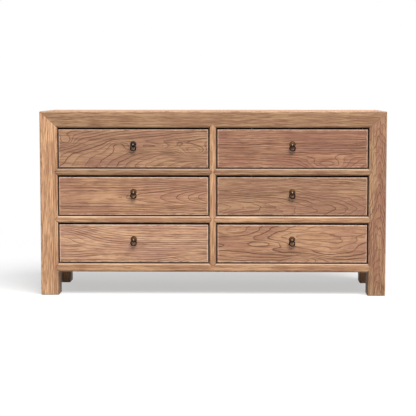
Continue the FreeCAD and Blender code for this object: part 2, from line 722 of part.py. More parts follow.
def pull_fitting(name, height):
    """Make a pull's domed plate, eye bolt and nut; height is the middle of the plate."""
    rim_front = f"({DRAWER_FACE} - plate_rim_thickness)"
    dome_front = f"({rim_front} - plate_dome_rise)"
    dome_base = "(plate_radius - plate_rim_width)"
    ball_radius = f"(({dome_base} * {dome_base} + plate_dome_rise * plate_dome_rise) / (2 * plate_dome_rise))"
    disc = rod(f"{name}_disc", "plate_radius", DRAWER_CENTRE, height, rim_front, DRAWER_FACE)
    ball = doc.addObject("Part::Sphere", f"{name}_ball")
    bind(ball, Radius=ball_radius)
    bind(ball, Base_x=DRAWER_CENTRE, Base_y=f"({dome_front} + {ball_radius})", Base_z=height)
    dome_limit = rod(f"{name}_dome_limit", dome_base, DRAWER_CENTRE, height, dome_front, DRAWER_FACE)
    dome = overlap(f"{name}_dome", ball, dome_limit)

    seat = f"({dome_front} + neck_seat)"
    ring_plane = f"({DRAWER_FACE} - {RING_STANDOFF})"
    neck_front = f"({ring_plane} + ring_wire_radius + neck_clearance)"
    nut_front = f"({DRAWER_FACE} + front_thickness)"
    nut_back = f"({nut_front} + nut_thickness)"
    neck = rod(f"{name}_neck", "neck_radius", DRAWER_CENTRE, height, neck_front, seat)
    shank = rod(f"{name}_shank", "shank_radius", DRAWER_CENTRE, height, seat, f"({nut_back} + shank_end)")
    bore = rod(
        f"{name}_bore", "(shank_radius + shank_clearance)", DRAWER_CENTRE, height,
        dome_front, f"({nut_back} + cut_overrun)",
    )
    plate = cut(f"{name}_plate", join(f"{name}_domed", disc, dome), neck, bore)

    eye_height = f"({height} - eye_drop)"
    rounds = []
    for part, radius, margin in (("lug", EYE_RADIUS, "0"), ("hole", EYE_BORE, "cut_overrun")):
        barrel = doc.addObject("Part::Cylinder", f"{name}_{part}")
        barrel.Placement.Rotation = FreeCAD.Rotation(FreeCAD.Vector(0, 1, 0), 90)
        bind(barrel, Radius=radius, Height=f"eye_thickness + 2 * {margin}")
        bind(barrel, Base_x=f"{DRAWER_CENTRE} - eye_thickness / 2 - {margin}")
        bind(barrel, Base_y=ring_plane, Base_z=eye_height)
        rounds.append(barrel)
    bolt = cut(f"{name}_bolt", join(f"{name}_bolt_blank", rounds[0], neck, shank), rounds[1])

    hexagon = doc.addObject("Part::Prism", f"{name}_hexagon")
    hexagon.Polygon = NUT_SIDES
    bind(hexagon, Circumradius="nut_radius", Height="nut_thickness")
    turned(hexagon, DRAWER_CENTRE, nut_back, height)
    nut = cut(f"{name}_nut", hexagon, bore)
    return group(name, plate, bolt, nut), bore


def pull_ring(name, height):
    """Make the ring that hangs in the eye of a pull."""
    ring = doc.addObject("Part::Torus", name)
    bind(ring, Radius1="ring_radius", Radius2="ring_wire_radius")
    ring_plane = f"({DRAWER_FACE} - {RING_STANDOFF})"
    return turned(ring, DRAWER_CENTRE, ring_plane, f"({height} - eye_drop - ring_radius)")


def drawer(row, number):
    """Make the pieces of the left drawer in a row, then mirror them for the right one."""
    left = f"{row}_left"
    base = row_base(number)
    front_low = f"({base} + front_bottom_gap)"
    front_high = f"({base} + drawer_opening_height - front_top_gap)"
    foot = f"({base} + runner_clearance)"
    height = "(drawer_opening_height - runner_clearance - drawer_headroom)"
    bottom_low = f"({foot} + drawer_bottom_rise)"
    bottom_high = f"({bottom_low} + drawer_bottom_thickness)"
    inner_left = f"({DRAWER_LEFT} + drawer_side_thickness)"
    inner_right = f"({DRAWER_RIGHT} - drawer_side_thickness)"
    tongue_span = (f"({inner_left} - drawer_groove)", f"({inner_right} + drawer_groove)")
    back_end = f"({DRAWER_END} - drawer_back_inset)"

    bottom = block(
        f"{left}_drawer_bottom", tongue_span,
        (f"({DRAWER_FRONT_BACK} - drawer_groove)", back_end), (bottom_low, bottom_high),
    )
    back = block(
        f"{left}_drawer_back", tongue_span,
        (f"({back_end} - drawer_back_thickness)", back_end),
        (bottom_high, f"({foot} + {height} - drawer_back_drop)"),
    )
    outline = side_outline(foot, height)
    boards_raw = [
        prism(f"{left}_side_a", "x", outline, DRAWER_LEFT, inner_left),
        prism(f"{left}_side_b", "x", outline, inner_right, DRAWER_RIGHT),
    ]
    grooved = [cut(f"{item.Name}_grooved", item, bottom, back) for item in boards_raw]
    sides = group(f"{left}_drawer_sides", *grooved)

    pull_height = f"(({front_low} + {front_high}) / 2 + pull_rise)"
    fitting, bore = pull_fitting(f"{left}_pull_fitting", pull_height)
    face = rectangle((DRAWER_LEFT, DRAWER_RIGHT), (front_low, front_high))
    front_board = prism(f"{left}_front_board", "y", face, DRAWER_FACE, DRAWER_FRONT_BACK)
    round_edges(front_board, "front_ease", {"y": "low"})
    front = cut(f"{left}_drawer_front", front_board, *boards_raw, bottom, bore)
    ring = pull_ring(f"{left}_pull_ring", pull_height)
    for item in (front, sides, back, bottom, fitting, ring):
        keep(item)
        keep(mirror(item.Name.replace("left", "right"), item))


for number, row in enumerate(ROWS):
    drawer(row, number)

doc.recompute()

# Every object is sound before anything is written
for item in doc.Objects:
    if {"Invalid", "Error"} & set(item.State):
        raise RuntimeError(f"{item.Name} failed: {item.State}")
for item in pieces:
    if item.Shape.isNull() or not item.Shape.isValid() or not item.Shape.Solids:
        raise RuntimeError(f"{item.Label} has no sound shape")

os.makedirs("parts", exist_ok=True)
for item in pieces:
    item.Shape.exportStep(os.path.join("parts", f"{item.Label}.step"))
    print(f"{item.Label}: {len(item.Shape.Solids)} solids, {item.Shape.Volume / 1000:.1f} cm3")
print(f"{len(pieces)} pieces")
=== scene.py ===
"""Dresses a six-drawer dresser in old elm, aged brass and dark iron, and sets it in a plain studio."""

import logging
import math
from dataclasses import dataclass, replace
from enum import Enum
from functools import partialmethod
from typing import Any, Optional, Sequence, Union

import bpy
from bpy.types import Material, Node, NodeTree
from bpy.types import NodeSocket as Socket
from mathutils import Color, Euler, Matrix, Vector


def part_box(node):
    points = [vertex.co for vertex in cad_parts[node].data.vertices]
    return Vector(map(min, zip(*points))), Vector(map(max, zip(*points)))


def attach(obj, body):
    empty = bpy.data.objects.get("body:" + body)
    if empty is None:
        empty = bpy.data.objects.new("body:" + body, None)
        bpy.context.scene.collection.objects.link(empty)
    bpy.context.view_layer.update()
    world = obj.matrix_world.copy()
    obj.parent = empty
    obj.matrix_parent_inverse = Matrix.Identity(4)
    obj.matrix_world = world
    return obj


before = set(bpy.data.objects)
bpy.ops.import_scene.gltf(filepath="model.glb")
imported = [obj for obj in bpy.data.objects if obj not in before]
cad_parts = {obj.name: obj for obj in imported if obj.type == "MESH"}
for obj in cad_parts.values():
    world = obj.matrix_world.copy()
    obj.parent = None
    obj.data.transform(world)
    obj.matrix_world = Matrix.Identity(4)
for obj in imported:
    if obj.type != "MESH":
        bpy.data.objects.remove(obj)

LOG = logging.getLogger("dresser")
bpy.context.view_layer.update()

Box = tuple[Vector, Vector]
Colour = tuple[float, float, float, float]
Triple = tuple[float, float, float]
Feed = Union[Socket, float, Sequence[float]]
Sockets = dict[str, Socket]

AXES = "XYZ"
ROWS = 3
WHITE: Colour = (1.0, 1.0, 1.0, 1.0)
FULL_SCREEN = 255
NOISE_MIDDLE = 0.5
PULL_SEED = 300.0


def paint(red: int, green: int, blue: int) -> Colour:
    """Turns a screen colour, each part 0 to 255, into the linear colour that a shader takes."""
    screen = Color((red / FULL_SCREEN, green / FULL_SCREEN, blue / FULL_SCREEN))
    return (*screen.from_srgb_to_scene_linear(), 1.0)


def named(thing: Any, names: str) -> dict[str, Feed]:
    """Gives some of a plan's values, each by the name of the socket that takes it."""
    return {name.capitalize(): getattr(thing, name) for name in names.split()}


def put_in_scene(name: str, data: bpy.types.ID) -> bpy.types.Object:
    """Makes an object and puts it in the scene.

    Args:
        name: The object's name.
        data: Its mesh, lamp or camera.

    Returns:
        The object.
    """
    thing = bpy.data.objects.new(name, data)
    bpy.context.scene.collection.objects.link(thing)
    return thing


class Lay(Enum):
    """Which way a board lies: the axes along its grain, across its face and through it."""

    FRONT_LONG = "XZY"
    FRONT_UPRIGHT = "ZXY"
    SIDE_LONG = "YZX"
    SIDE_UPRIGHT = "ZYX"
    FLAT_LONG = "XYZ"
    FLAT_DEEP = "YXZ"


class Split(Enum):
    """How the boards of one node follow each other, so that each gets wood of its own."""

    SINGLE = "none"
    ACROSS = "Y"
    THROUGH = "Z"


class Wiring:
    """Adds nodes to one tree and links them."""

    def __init__(self, tree: NodeTree) -> None:
        """Keeps the tree that the nodes go into."""
        self.tree = tree

    def add(self, kind: str, feeds: Optional[dict[Union[str, int], Feed]] = None, **settings: Any) -> Node:
        """Adds a node.

        Args:
            kind: The node's type.
            feeds: What its inputs get, by name or number.
            **settings: Properties to set on the node.

        Returns:
            The new node.
        """
        node = self.tree.nodes.new(kind)
        for name, value in settings.items():
            setattr(node, name, value)
        for key, value in (feeds or {}).items():
            self.feed(node.inputs[key], value)
        return node

    def feed(self, socket: Socket, value: Feed) -> None:
        """Links a socket to another one, or sets its value.

        Args:
            socket: The input that is fed.
            value: An output socket, a number, a vector or a colour.
        """
        if isinstance(value, Socket):
            self.tree.links.new(value, socket)
        else:
            socket.default_value = value

    def math(self, operation: str, *values: Feed, clamp: bool = False) -> Socket:
        """Works out one number from one to three others, held between 0 and 1 where clamp says so."""
        node = self.add("ShaderNodeMath", dict(enumerate(values)), operation=operation, use_clamp=clamp)
        return node.outputs[0]

    # Short names for the sums that are used most
    times = partialmethod(math, "MULTIPLY")
    over = partialmethod(math, "DIVIDE")
    plus = partialmethod(math, "ADD")
    minus = partialmethod(math, "SUBTRACT")
    most = partialmethod(math, "MAXIMUM")
    least = partialmethod(math, "MINIMUM")
    size = partialmethod(math, "ABSOLUTE")
    on_top = partialmethod(math, "MULTIPLY_ADD")
    held = partialmethod(math, "ADD", 0.0, clamp=True)

    def vector(self, operation: str, *values: Feed) -> Socket:
        """Works out one vector, or its length or dot product, from one or two others."""
        node = self.add("ShaderNodeVectorMath", dict(enumerate(values)), operation=operation)
        return node.outputs["Value" if operation in ("LENGTH", "DOT_PRODUCT") else "Vector"]

    def parts(self, vector: Feed) -> Sockets:
        """Takes a vector apart into its X, Y and Z."""
        node = self.add("ShaderNodeSeparateXYZ", {0: vector})
        return {axis: node.outputs[axis] for axis in AXES}

    def whole(self, x: Feed, y: Feed, z: Feed) -> Socket:
        """Puts three numbers together as a vector."""
        return self.add("ShaderNodeCombineXYZ", {"X": x, "Y": y, "Z": z}).outputs[0]

    def dice(self, number: Feed, seed: Feed) -> Sockets:
        """Picks a random value and colour for each whole number."""
        spot = self.whole(number, seed, 0.0)
        node = self.add("ShaderNodeTexWhiteNoise", {"Vector": spot}, noise_dimensions="2D")
        return {socket.name: socket for socket in node.outputs}

    def noise(
        self, vector: Feed, seed: Feed, grain: Optional[Triple] = None,
        detail: float = 2.0, roughness: float = 0.5, twist: float = 0.0,
    ) -> Socket:
        """Makes a soft random value from 0 to 1, about 0.5 on average.

        Args:
            vector: Where it is read.
            seed: Picks one of many patterns.
            grain: How many grains go in a unit along each axis, if not one.
            detail: How many finer layers it has.
            roughness: How strong the finer layers are.
            twist: How much it is stirred.

        Returns:
            The value.
        """
        place = self.vector("MULTIPLY", vector, grain) if grain else vector
        feeds = {"Vector": place, "W": seed, "Scale": 1.0, "Detail": detail, "Roughness": roughness}
        return self.add("ShaderNodeTexNoise", feeds | {"Distortion": twist}, noise_dimensions="4D").outputs[0]

    def step(self, value: Feed, low: Feed, high: Feed, start: Feed = 0.0, end: Feed = 1.0) -> Socket:
        """Goes smoothly from one value to another.

        Args:
            value: The number that drives it.
            low: Where it starts to change.
            high: Where it stops.
            start: Its value up to low.
            end: Its value from high on.

        Returns:
            The value in between.
        """
        feeds = {"Value": value, "From Min": low, "From Max": high, "To Min": start, "To Max": end}
        return self.add("ShaderNodeMapRange", feeds, interpolation_type="SMOOTHSTEP").outputs[0]

    def fall(self, value: Feed, low: Feed, high: Feed) -> Socket:
        """Falls smoothly from 1 to 0."""
        return self.step(value, low, high, 1.0, 0.0)

    def blend(self, share: Feed, first: Feed, second: Feed, way: str = "MIX") -> Socket:
        """Mixes two colours.

        Args:
            share: How much of the second there is.
            first: The colour underneath.
            second: The colour laid on it.
            way: How they mix.

        Returns:
            The mixed colour.
        """
        node = self.add("ShaderNodeMix", {0: share}, data_type="RGBA", blend_type=way)
        colours = [socket for socket in node.inputs if socket.type == "RGBA"]
        for socket, colour in zip(colours, (first, second)):
            self.feed(socket, colour)
        return next(socket for socket in node.outputs if socket.type == "RGBA")

    def place(self, group: NodeTree, **values: Feed) -> Sockets:
        """Places a shared group in the tree.

        Args:
            group: The group.
            **values: What its inputs get, by name, with _ for a space.

        Returns:
            Its outputs by name.
        """
        feeds = {name.replace("_", " "): value for name, value in values.items()}
        return {socket.name: socket for socket in self.add("ShaderNodeGroup", feeds, node_tree=group).outputs}


class SharedGroup(Wiring):
    """A node group that is being made."""

    def __init__(
        self, name: str, inputs: dict[str, str], outputs: dict[str, str], kind: str = "ShaderNodeTree"
    ) -> None:
        """Makes the group with its sockets.

        Args:
            name: The group's name.
            inputs: The names of the inputs of each kind, with commas between them.
            outputs: The names of the outputs, in the same way.
            kind: The kind of node tree.
        """
        super().__init__(bpy.data.node_groups.new(name, kind))
        for sockets, side in ((inputs, "INPUT"), (outputs, "OUTPUT")):
            for sort, labels in sockets.items():
                for label in labels.split(", "):
                    self.tree.interface.new_socket(name=label, in_out=side, socket_type=f"NodeSocket{sort}")
        self.given = [socket for socket in self.add("NodeGroupInput").outputs if socket.name]
        self.result = self.add("NodeGroupOutput").inputs

    def put_out(self, **values: Feed) -> NodeTree:
        """Links the group's outputs and gives the finished group."""
        for name, value in values.items():
            self.feed(self.result[name], value)
        return self.tree


def swirl_group() -> NodeTree:
    """Makes the group that pushes the growth rings up or down round one place, as by a knot."""
    wire = SharedGroup(
        "Swirl", {"Vector": "Vector, Place, Reach", "Float": "Before, Lift"}, {"Float": "Lift"}
    )
    vector, place, reach, before, lift = wire.given
    away = wire.vector("DIVIDE", wire.vector("SUBTRACT", vector, place), reach)
    near = wire.math("EXPONENT", wire.times(wire.vector("DOT_PRODUCT", away, away), -1.0))
    return wire.put_out(Lift=wire.on_top(near, lift, before))


def board_group() -> NodeTree:
    """Makes the group that gives each board of a row a place of its own in the wood."""
    spread = (5.0, 0.08, 0.0)
    wire = SharedGroup(
        "Board of a row",
        {"Vector": "Vector", "Float": "Place, Pitch, Seed"},
        {"Vector": "Vector", "Float": "Board"},
    )
    vector, place, pitch, seed = wire.given
    dice = wire.dice(wire.math("FLOOR", wire.over(place, pitch)), seed)
    shift = wire.vector("SUBTRACT", dice["Color"], (NOISE_MIDDLE,) * len(AXES))
    shift = wire.vector("MULTIPLY", shift, spread)
    return wire.put_out(Vector=wire.vector("ADD", vector, shift), Board=dice["Value"])


def log_group() -> NodeTree:
    """Makes the group that counts the growth rings from a log's heart out to a point of the board."""
    sway_roughness, ruffle_grain, ruffle_detail = 0.45, (30.0, 75.0, 75.0), 1.0
    numbers = "Lift, Seed, Ring width, Heart depth, Heart side, Rise, Sway, Ruffle"
    wire = SharedGroup("Log", {"Vector": "Vector, Sway size", "Float": numbers}, {"Float": "Count"})
    vector, sway_size, lift, seed, ring_width, heart_depth, heart_side, rise, sway, ruffle = wire.given
    at = wire.parts(vector)
    wander = wire.noise(wire.vector("DIVIDE", vector, sway_size), seed, roughness=sway_roughness)
    wander = wire.times(wire.minus(wander, NOISE_MIDDLE), sway)
    ripple = wire.noise(vector, seed, ruffle_grain, ruffle_detail)
    wander = wire.on_top(wire.minus(ripple, NOISE_MIDDLE), ruffle, wander)
    sideways = wire.minus(at["Y"], heart_side)
    behind = wire.minus(wire.on_top(at["X"], rise, at["Z"]), heart_depth)
    radius = wire.vector("LENGTH", wire.whole(sideways, behind, 0.0))
    grown = wire.plus(wire.plus(radius, wander), lift)
    return wire.put_out(Count=wire.over(grown, ring_width))


def ring_group() -> NodeTree:
    """Makes the group that draws the rings where they come to the surface, as thin lines of one width."""
    widest, early_share, early_most = 0.5, 0.3, 0.16
    patch_grain, patch_low, patch_high = (7.0, 30.0, 30.0), 0.30, 0.55
    faint_year, faint_patch = 0.5, 0.45
    feathers, late_power, half = 4.0, 2.0, 0.5
    wire = SharedGroup(
        "Growth rings",
        {"Vector": "Vector", "Float": "Count, Slope, Seed, Line width"},
        {"Float": "Line, Late, Feather, Ring"},
    )
    vector, count, slope, seed, line_width = wire.given
    phase = wire.math("FRACT", count)
    year = wire.dice(wire.math("FLOOR", count), seed)["Value"]
    wide = wire.times(slope, line_width)
    after = wire.fall(phase, 0.0, wire.least(wide, widest))
    before = wire.minus(1.0, wire.least(wire.times(wide, early_share), early_most))
    edge = wire.most(after, wire.step(phase, before, 1.0))
    patchy = wire.noise(vector, seed, patch_grain)
    clear = wire.step(patchy, patch_low, patch_high, faint_patch, 1.0)
    shown = wire.times(wire.step(year, 0.0, 1.0, faint_year, 1.0), clear)
    fine = wire.math("FRACT", wire.times(count, feathers))
    return wire.put_out(
        Line=wire.times(edge, shown),
        Late=wire.math("POWER", phase, late_power),
        Feather=wire.times(wire.size(wire.minus(fine, half)), 1.0 / half),
        Ring=year,
    )


def fibre_group() -> NodeTree:
    """Makes the group for what runs along the grain: streaks, fibres and pores, and soft patches."""
    streak_grain, fibre_grain = (3.4, 115.0, 115.0), (14.0, 260.0, 260.0)
    pore_grain, patch_grain = (30.0, 420.0, 420.0), (4.5, 14.0, 14.0)
    pore_low, pore_high = 0.62, 0.72
    wire = SharedGroup(
        "Fibres", {"Vector": "Vector", "Float": "Seed"}, {"Float": "Streak, Fibre, Pore, Patch"}
    )
    vector, seed = wire.given
    return wire.put_out(
        Streak=wire.noise(vector, seed, streak_grain, detail=3.0, roughness=0.6),
        Fibre=wire.noise(vector, seed, fibre_grain, roughness=0.6),
        Pore=wire.step(wire.noise(vector, seed, pore_grain, detail=1.0), pore_low, pore_high),
        Patch=wire.noise(vector, seed, patch_grain, twist=0.5),
    )


@dataclass(frozen=True)
class ElmMix:
    """How much each part of the figure counts in the wood's colour, relief and gloss."""

    patch: float = 0.9
    streak_middle: float = 0.95
    late: float = 0.30
    ring: float = 0.22
    feather: float = 0.12
    fibre: float = 1.5
    base: float = 0.12
    board: float = 0.20
    rosy_low: float = 0.38
    rosy_high: float = 0.66
    pore: float = 0.45
    seam: float = 0.55
    # How strongly the painted shade darkens
    grime: float = 0.85
    line_relief: float = -0.6
    fibre_relief: float = 0.5
    pore_relief: float = -0.7
    rough: float = 0.47
    streak_rough: float = 0.18
    line_rough: float = 0.10
    wear_rough: float = -0.10


def elm_group(mix: ElmMix = ElmMix()) -> NodeTree:
    """Makes the group that colours the wood and gives its relief and gloss.

    Args:
        mix: How much each part of the figure counts.

    Returns:
        The group.
    """
    figure = "Line, Late, Feather, Ring, Streak, Fibre, Pore, Patch, Board"
    marks = "Wear, Seam, Grime, Shade, Line depth, Streak depth, Rosy share, Wear share"
    wire = SharedGroup(
        "Old elm",
        {"Float": f"{figure}, {marks}", "Color": "Pale, Deep, Rosy, Ink, Worn, Dirt"},
        {"Color": "Colour", "Float": "Relief, Roughness"},
    )
    (
        line, late, feather, ring, streak, fibre, pore, patch, board, wear, seam, grime, shade,
        line_depth, streak_depth, rosy_share, wear_share, pale, deep, rosy, ink, worn, dirt,
    ) = wire.given
    banded = wire.minus(wire.plus(streak, wire.times(patch, mix.patch)), mix.streak_middle)
    tone = wire.on_top(late, mix.late, wire.times(banded, streak_depth))
    tone = wire.on_top(ring, mix.ring, tone)
    tone = wire.on_top(feather, mix.feather, tone)
    thread = wire.times(wire.minus(fibre, NOISE_MIDDLE), mix.fibre)
    tone = wire.on_top(thread, streak_depth, wire.plus(tone, mix.base))
    tone = wire.on_top(board, mix.board, tone)
    colour = wire.blend(wire.held(tone), pale, deep)
    flush = wire.times(wire.step(patch, mix.rosy_low, mix.rosy_high), rosy_share)
    colour = wire.blend(flush, colour, rosy)
    colour = wire.blend(wire.held(wire.times(line, line_depth)), colour, ink)
    colour = wire.blend(wire.times(pore, mix.pore), colour, ink)
    # Pale arrises from wear, and on the rails also a painted highlight where the face looks up
    colour = wire.blend(wire.times(wear, wear_share), colour, worn)
    colour = wire.blend(1.0, colour, wire.whole(shade, shade, shade), "MULTIPLY")
    colour = wire.blend(wire.times(seam, mix.seam), colour, ink)
    # Painted shade in the gaps round the drawers and on the feet's inner sides
    colour = wire.blend(wire.times(grime, mix.grime), colour, dirt)
    relief = wire.on_top(line, mix.line_relief, wire.times(fibre, mix.fibre_relief))
    rough = wire.on_top(line, mix.line_rough, wire.on_top(streak, mix.streak_rough, mix.rough))
    return wire.put_out(
        Colour=colour,
        Relief=wire.on_top(pore, mix.pore_relief, relief),
        Roughness=wire.on_top(wear, mix.wear_rough, rough),
    )


def arris_group() -> NodeTree:
    """Makes the group that finds the long edges of a board, where hands have worn them."""
    grain, ragged_low, ragged_high, narrow, broad = (38.0, 38.0, 38.0), 0.3, 0.7, 0.35, 1.5
    wire = SharedGroup(
        "Arris wear", {"Vector": "Vector, Low, High", "Float": "Width, Seed"}, {"Float": "Wear"}
    )
    vector, low, high, width, seed = wire.given
    above, below = wire.vector("SUBTRACT", vector, low), wire.vector("SUBTRACT", high, vector)
    away = wire.parts(wire.vector("MINIMUM", above, below))
    least, most = wire.least(away["X"], away["Y"]), wire.most(away["X"], away["Y"])
    arris = wire.most(least, wire.least(most, away["Z"]))
    ragged = wire.noise(vector, seed, grain, detail=3.0, roughness=0.6)
    reach = wire.times(width, wire.step(ragged, ragged_low, ragged_high, narrow, broad))
    return wire.put_out(Wear=wire.fall(arris, 0.0, reach))


def mitre_group() -> NodeTree:
    """Makes the group that finds the mitre seams at the four upper corners, on all three faces."""
    end_low, end_high = 0.98, 1.03
    wire = SharedGroup(
        "Mitre seam", {"Vector": "Vector, Middle, Corner, Size", "Float": "Width"}, {"Float": "Seam"}
    )
    vector, middle, corner, size, width = wire.given
    folded = wire.vector("ABSOLUTE", wire.vector("SUBTRACT", vector, middle))
    inward = wire.parts(wire.vector("DIVIDE", wire.vector("SUBTRACT", corner, folded), size))
    x, y, z = (inward[axis] for axis in AXES)
    most, least, total = (join(x, join(y, z)) for join in (wire.most, wire.least, wire.plus))
    apart = wire.minus(wire.on_top(most, 2.0, least), total)
    return wire.put_out(Seam=wire.times(wire.fall(apart, 0.0, width), wire.fall(most, end_low, end_high)))


def gap_shade_group() -> NodeTree:
    """Makes the group that paints shade in the narrow gaps round the drawers, in two columns of rows."""
    slack, shade_end, unshaded_again = 0.008, 0.020, 0.025
    numbers = "Front, Inner edge, Outer edge, Row base, Row pitch, Row height, Clean depth, Full depth"
    wire = SharedGroup("Gap grime", {"Vector": "Vector", "Float": numbers}, {"Float": "Grime"})
    (
        vector, front, inner_edge, outer_edge, row_base, row_pitch, row_height, clean_depth, full_depth,
    ) = wire.given
    at = wire.parts(vector)
    aside = wire.size(at["X"])
    past_inner = wire.math("GREATER_THAN", aside, wire.minus(inner_edge, slack))
    within = wire.times(past_inner, wire.math("LESS_THAN", aside, wire.plus(outer_edge, slack)))
    level = wire.minus(at["Z"], wire.minus(row_base, slack))
    over = wire.math("FLOORED_MODULO", level, row_pitch)
    inside = wire.math("LESS_THAN", over, wire.plus(row_height, 2 * slack))
    inside = wire.times(inside, wire.math("GREATER_THAN", level, 0.0))
    inside = wire.times(inside, wire.math("LESS_THAN", level, wire.times(row_pitch, ROWS)))
    deep = wire.minus(at["Y"], front)
    # Painted shade: dark from just behind the front, fading out deep inside the gaps
    band = wire.times(wire.step(deep, clean_depth, full_depth), wire.fall(deep, shade_end, unshaded_again))
    return wire.put_out(Grime=wire.times(band, wire.times(within, inside)))


def tarnish_group() -> NodeTree:
    """Makes the group for old metal: dark tarnish, worn patches and fine scratches."""
    pit_grain, scratch_grain = (6.0, 6.0, 6.0), (1.5, 14.0, 22.0)
    wire = SharedGroup(
        "Tarnish", {"Vector": "Vector", "Float": "Seed, Grain"}, {"Float": "Tarnish, Pit, Scratch"}
    )
    vector, seed, grain = wire.given
    near = wire.vector("MULTIPLY", vector, wire.whole(grain, grain, grain))
    cloud = wire.noise(near, seed, detail=4.0, roughness=0.6, twist=0.6)
    pit = wire.noise(near, seed, pit_grain)
    scratch = wire.noise(near, seed, scratch_grain, roughness=0.6)
    return wire.put_out(
        Tarnish=wire.step(cloud, low=0.34, high=0.66),
        Pit=wire.step(pit, low=0.58, high=0.72),
        Scratch=wire.step(scratch, low=0.55, high=0.75),
    )


def spot_group() -> NodeTree:
    """Makes the group that finds a small round spot, seen from the front, where a highlight is painted."""
    soft_from, seen_from_front = 0.8, (1.0, 0.0, 1.0)
    wire = SharedGroup("Spot", {"Vector": "Vector, Place", "Float": "Radius"}, {"Float": "Spot"})
    vector, place, radius = wire.given
    aside = wire.vector("MULTIPLY", wire.vector("SUBTRACT", vector, place), seen_from_front)
    return wire.put_out(Spot=wire.fall(wire.over(wire.vector("LENGTH", aside), radius), soft_from, 1.0))


def beak_group() -> NodeTree:
    """Makes the group that finds the seam round a rail's pointed end, past one edge of the opening."""
    numbers = "Edge, Way, Middle, Half, Depth, Width"
    wire = SharedGroup("Beak seam", {"Vector": "Vector", "Float": numbers}, {"Float": "Seam"})
    vector, edge, way, middle, half, depth, width = wire.given
    at = wire.parts(vector)
    past = wire.times(wire.minus(wire.size(at["X"]), edge), way)
    past = wire.over(past, depth)
    aside = wire.size(wire.over(wire.minus(at["Z"], middle), half))
    apart = wire.size(wire.minus(wire.plus(past, aside), 1.0))
    seam = wire.fall(wire.times(apart, depth), 0.0, width)
    return wire.put_out(Seam=wire.times(seam, wire.math("GREATER_THAN", past, 0.0)))


@dataclass(frozen=True)
class WoodFinish:
    """Colours of one kind of board, and how strongly its figure shows."""

    name: str
    pale: Colour
    deep: Colour
    rosy: Colour
    ink: Colour
    # The pale colour of worn arrises, also used for the painted highlight on faces that look up
    worn: Colour
    # The colour of the painted shade in the gaps and on the feet's inner sides
    dirt: Colour = paint(46, 28, 24)
    line_depth: float = 0.55
    streak_depth: float = 1.1
    rosy_share: float = 0.35
    wear_share: float = 0.6
    wear_width: float = 0.006
    relief: float = 0.00035
    specular: float = 0.32
    jointed: bool = False
    # How deep behind the front the painted shade in the gaps starts, and where it is full
    clean_depth: float = 0.0042
    full_depth: float = 0.0056
    # How strongly faces that look up get a painted highlight, between two slopes of the face
    crown_share: float = 0.0
    crown_low: float = 0.15
    crown_high: float = 0.75

    def toned(self, level: float) -> "WoodFinish":
        """Gives the same finish on a lighter or darker board.

        Args:
            level: How much light the board throws back, where 1 leaves it as it is.

        Returns:
            The finish of that board.
        """
        names = ("pale", "deep", "rosy", "ink", "worn")
        shades = {name: tuple(part * level for part in getattr(self, name)[:3]) + (1.0,) for name in names}
        return replace(self, **shades)


FRAME_WOOD = WoodFinish(
    "frame_wood",
    pale=paint(212, 168, 128),
    deep=paint(150, 106, 76),
    rosy=paint(194, 146, 114),
    ink=paint(104, 66, 46),
    worn=paint(226, 188, 150),
    line_depth=0.6,
    streak_depth=2.5,
    jointed=True,
    clean_depth=0.003,
    full_depth=0.006,
)
# The rails' pale colour is brighter because it also paints the highlight on their upper rounding
RAIL_WOOD = replace(
    FRAME_WOOD, worn=paint(250, 220, 188), crown_share=0.85, clean_depth=0.0015, full_depth=0.0045
)
PANEL_WOOD = replace(FRAME_WOOD, line_depth=0.75, streak_depth=1.7)
DRAWER_WOOD = WoodFinish(
    "drawer_wood",
    pale=paint(206, 159, 123),
    deep=paint(142, 98, 72),
    rosy=paint(192, 142, 117),
    ink=paint(66, 38, 30),
    worn=paint(236, 198, 174),
    line_depth=0.9,
    streak_depth=2.0,
    rosy_share=0.5,
    wear_share=0.75,
    wear_width=0.008,
)
FAIR_WOOD = replace(
    DRAWER_WOOD,
    pale=paint(224, 178, 142),
    deep=paint(155, 110, 83),
    rosy=paint(209, 159, 135),
    ink=paint(78, 46, 36),
    worn=paint(244, 212, 190),
)
RED_WOOD = replace(DRAWER_WOOD, pale=paint(204, 152, 119), deep=paint(140, 92, 70), rosy=paint(190, 135, 110))
INNER_WOOD = WoodFinish(
    "inner_wood",
    pale=paint(216, 182, 143),
    deep=paint(176, 136, 98),
    rosy=paint(206, 168, 134),
    ink=paint(132, 98, 70),
    worn=paint(222, 196, 160),
    line_depth=0.4,
    streak_depth=1.4,
    rosy_share=0.25,
    wear_share=0.35,
    wear_width=0.004,
    specular=0.2,
)


@dataclass(frozen=True)
class Swirl:
    """A place where the rings bend round a knot or a dip, measured on the board's face from its middle."""

    along: float
    across: float
    long: float
    wide: float
    lift: float


@dataclass(frozen=True)
class Cut:
    """How a board was sawn from its log: lengths in metres, the log's heart seen from the board's middle."""

    seed: float
    ring_width: float = 0.006
    heart_depth: float = 0.12
    heart_side: float = 0.25
    rise: float = 0.0
    sway: float = 0.02
    sway_size: Triple = (0.55, 0.07, 0.07)
    ruffle: float = 0.002
    line_width: float = 0.004
    tone: float = 1.0
    fade: float = 0.0
    swirls: tuple[Swirl, ...] = ()
    split: Split = Split.SINGLE
    boards: int = 1
    seed_spread: float = 17.0
    stride: float = 0.0006


@dataclass(frozen=True)
class MetalFinish:
    """Colours of one old metal, from tarnished to worn bright, and the colour of its painted highlight."""

    name: str
    dark: Colour
    bright: Colour
    tarnish_share: float
    scratch_share: float = 0.35
    # The colour of the painted highlight on the bolt head
    rubbed: Colour = paint(146, 134, 112)
    grain: float = 160.0
    metal: float = 0.55
    dark_metal: float = 0.7
    smooth: float = 0.48
    dull: float = 0.72
    relief: float = 0.00012
    specular: float = 0.4


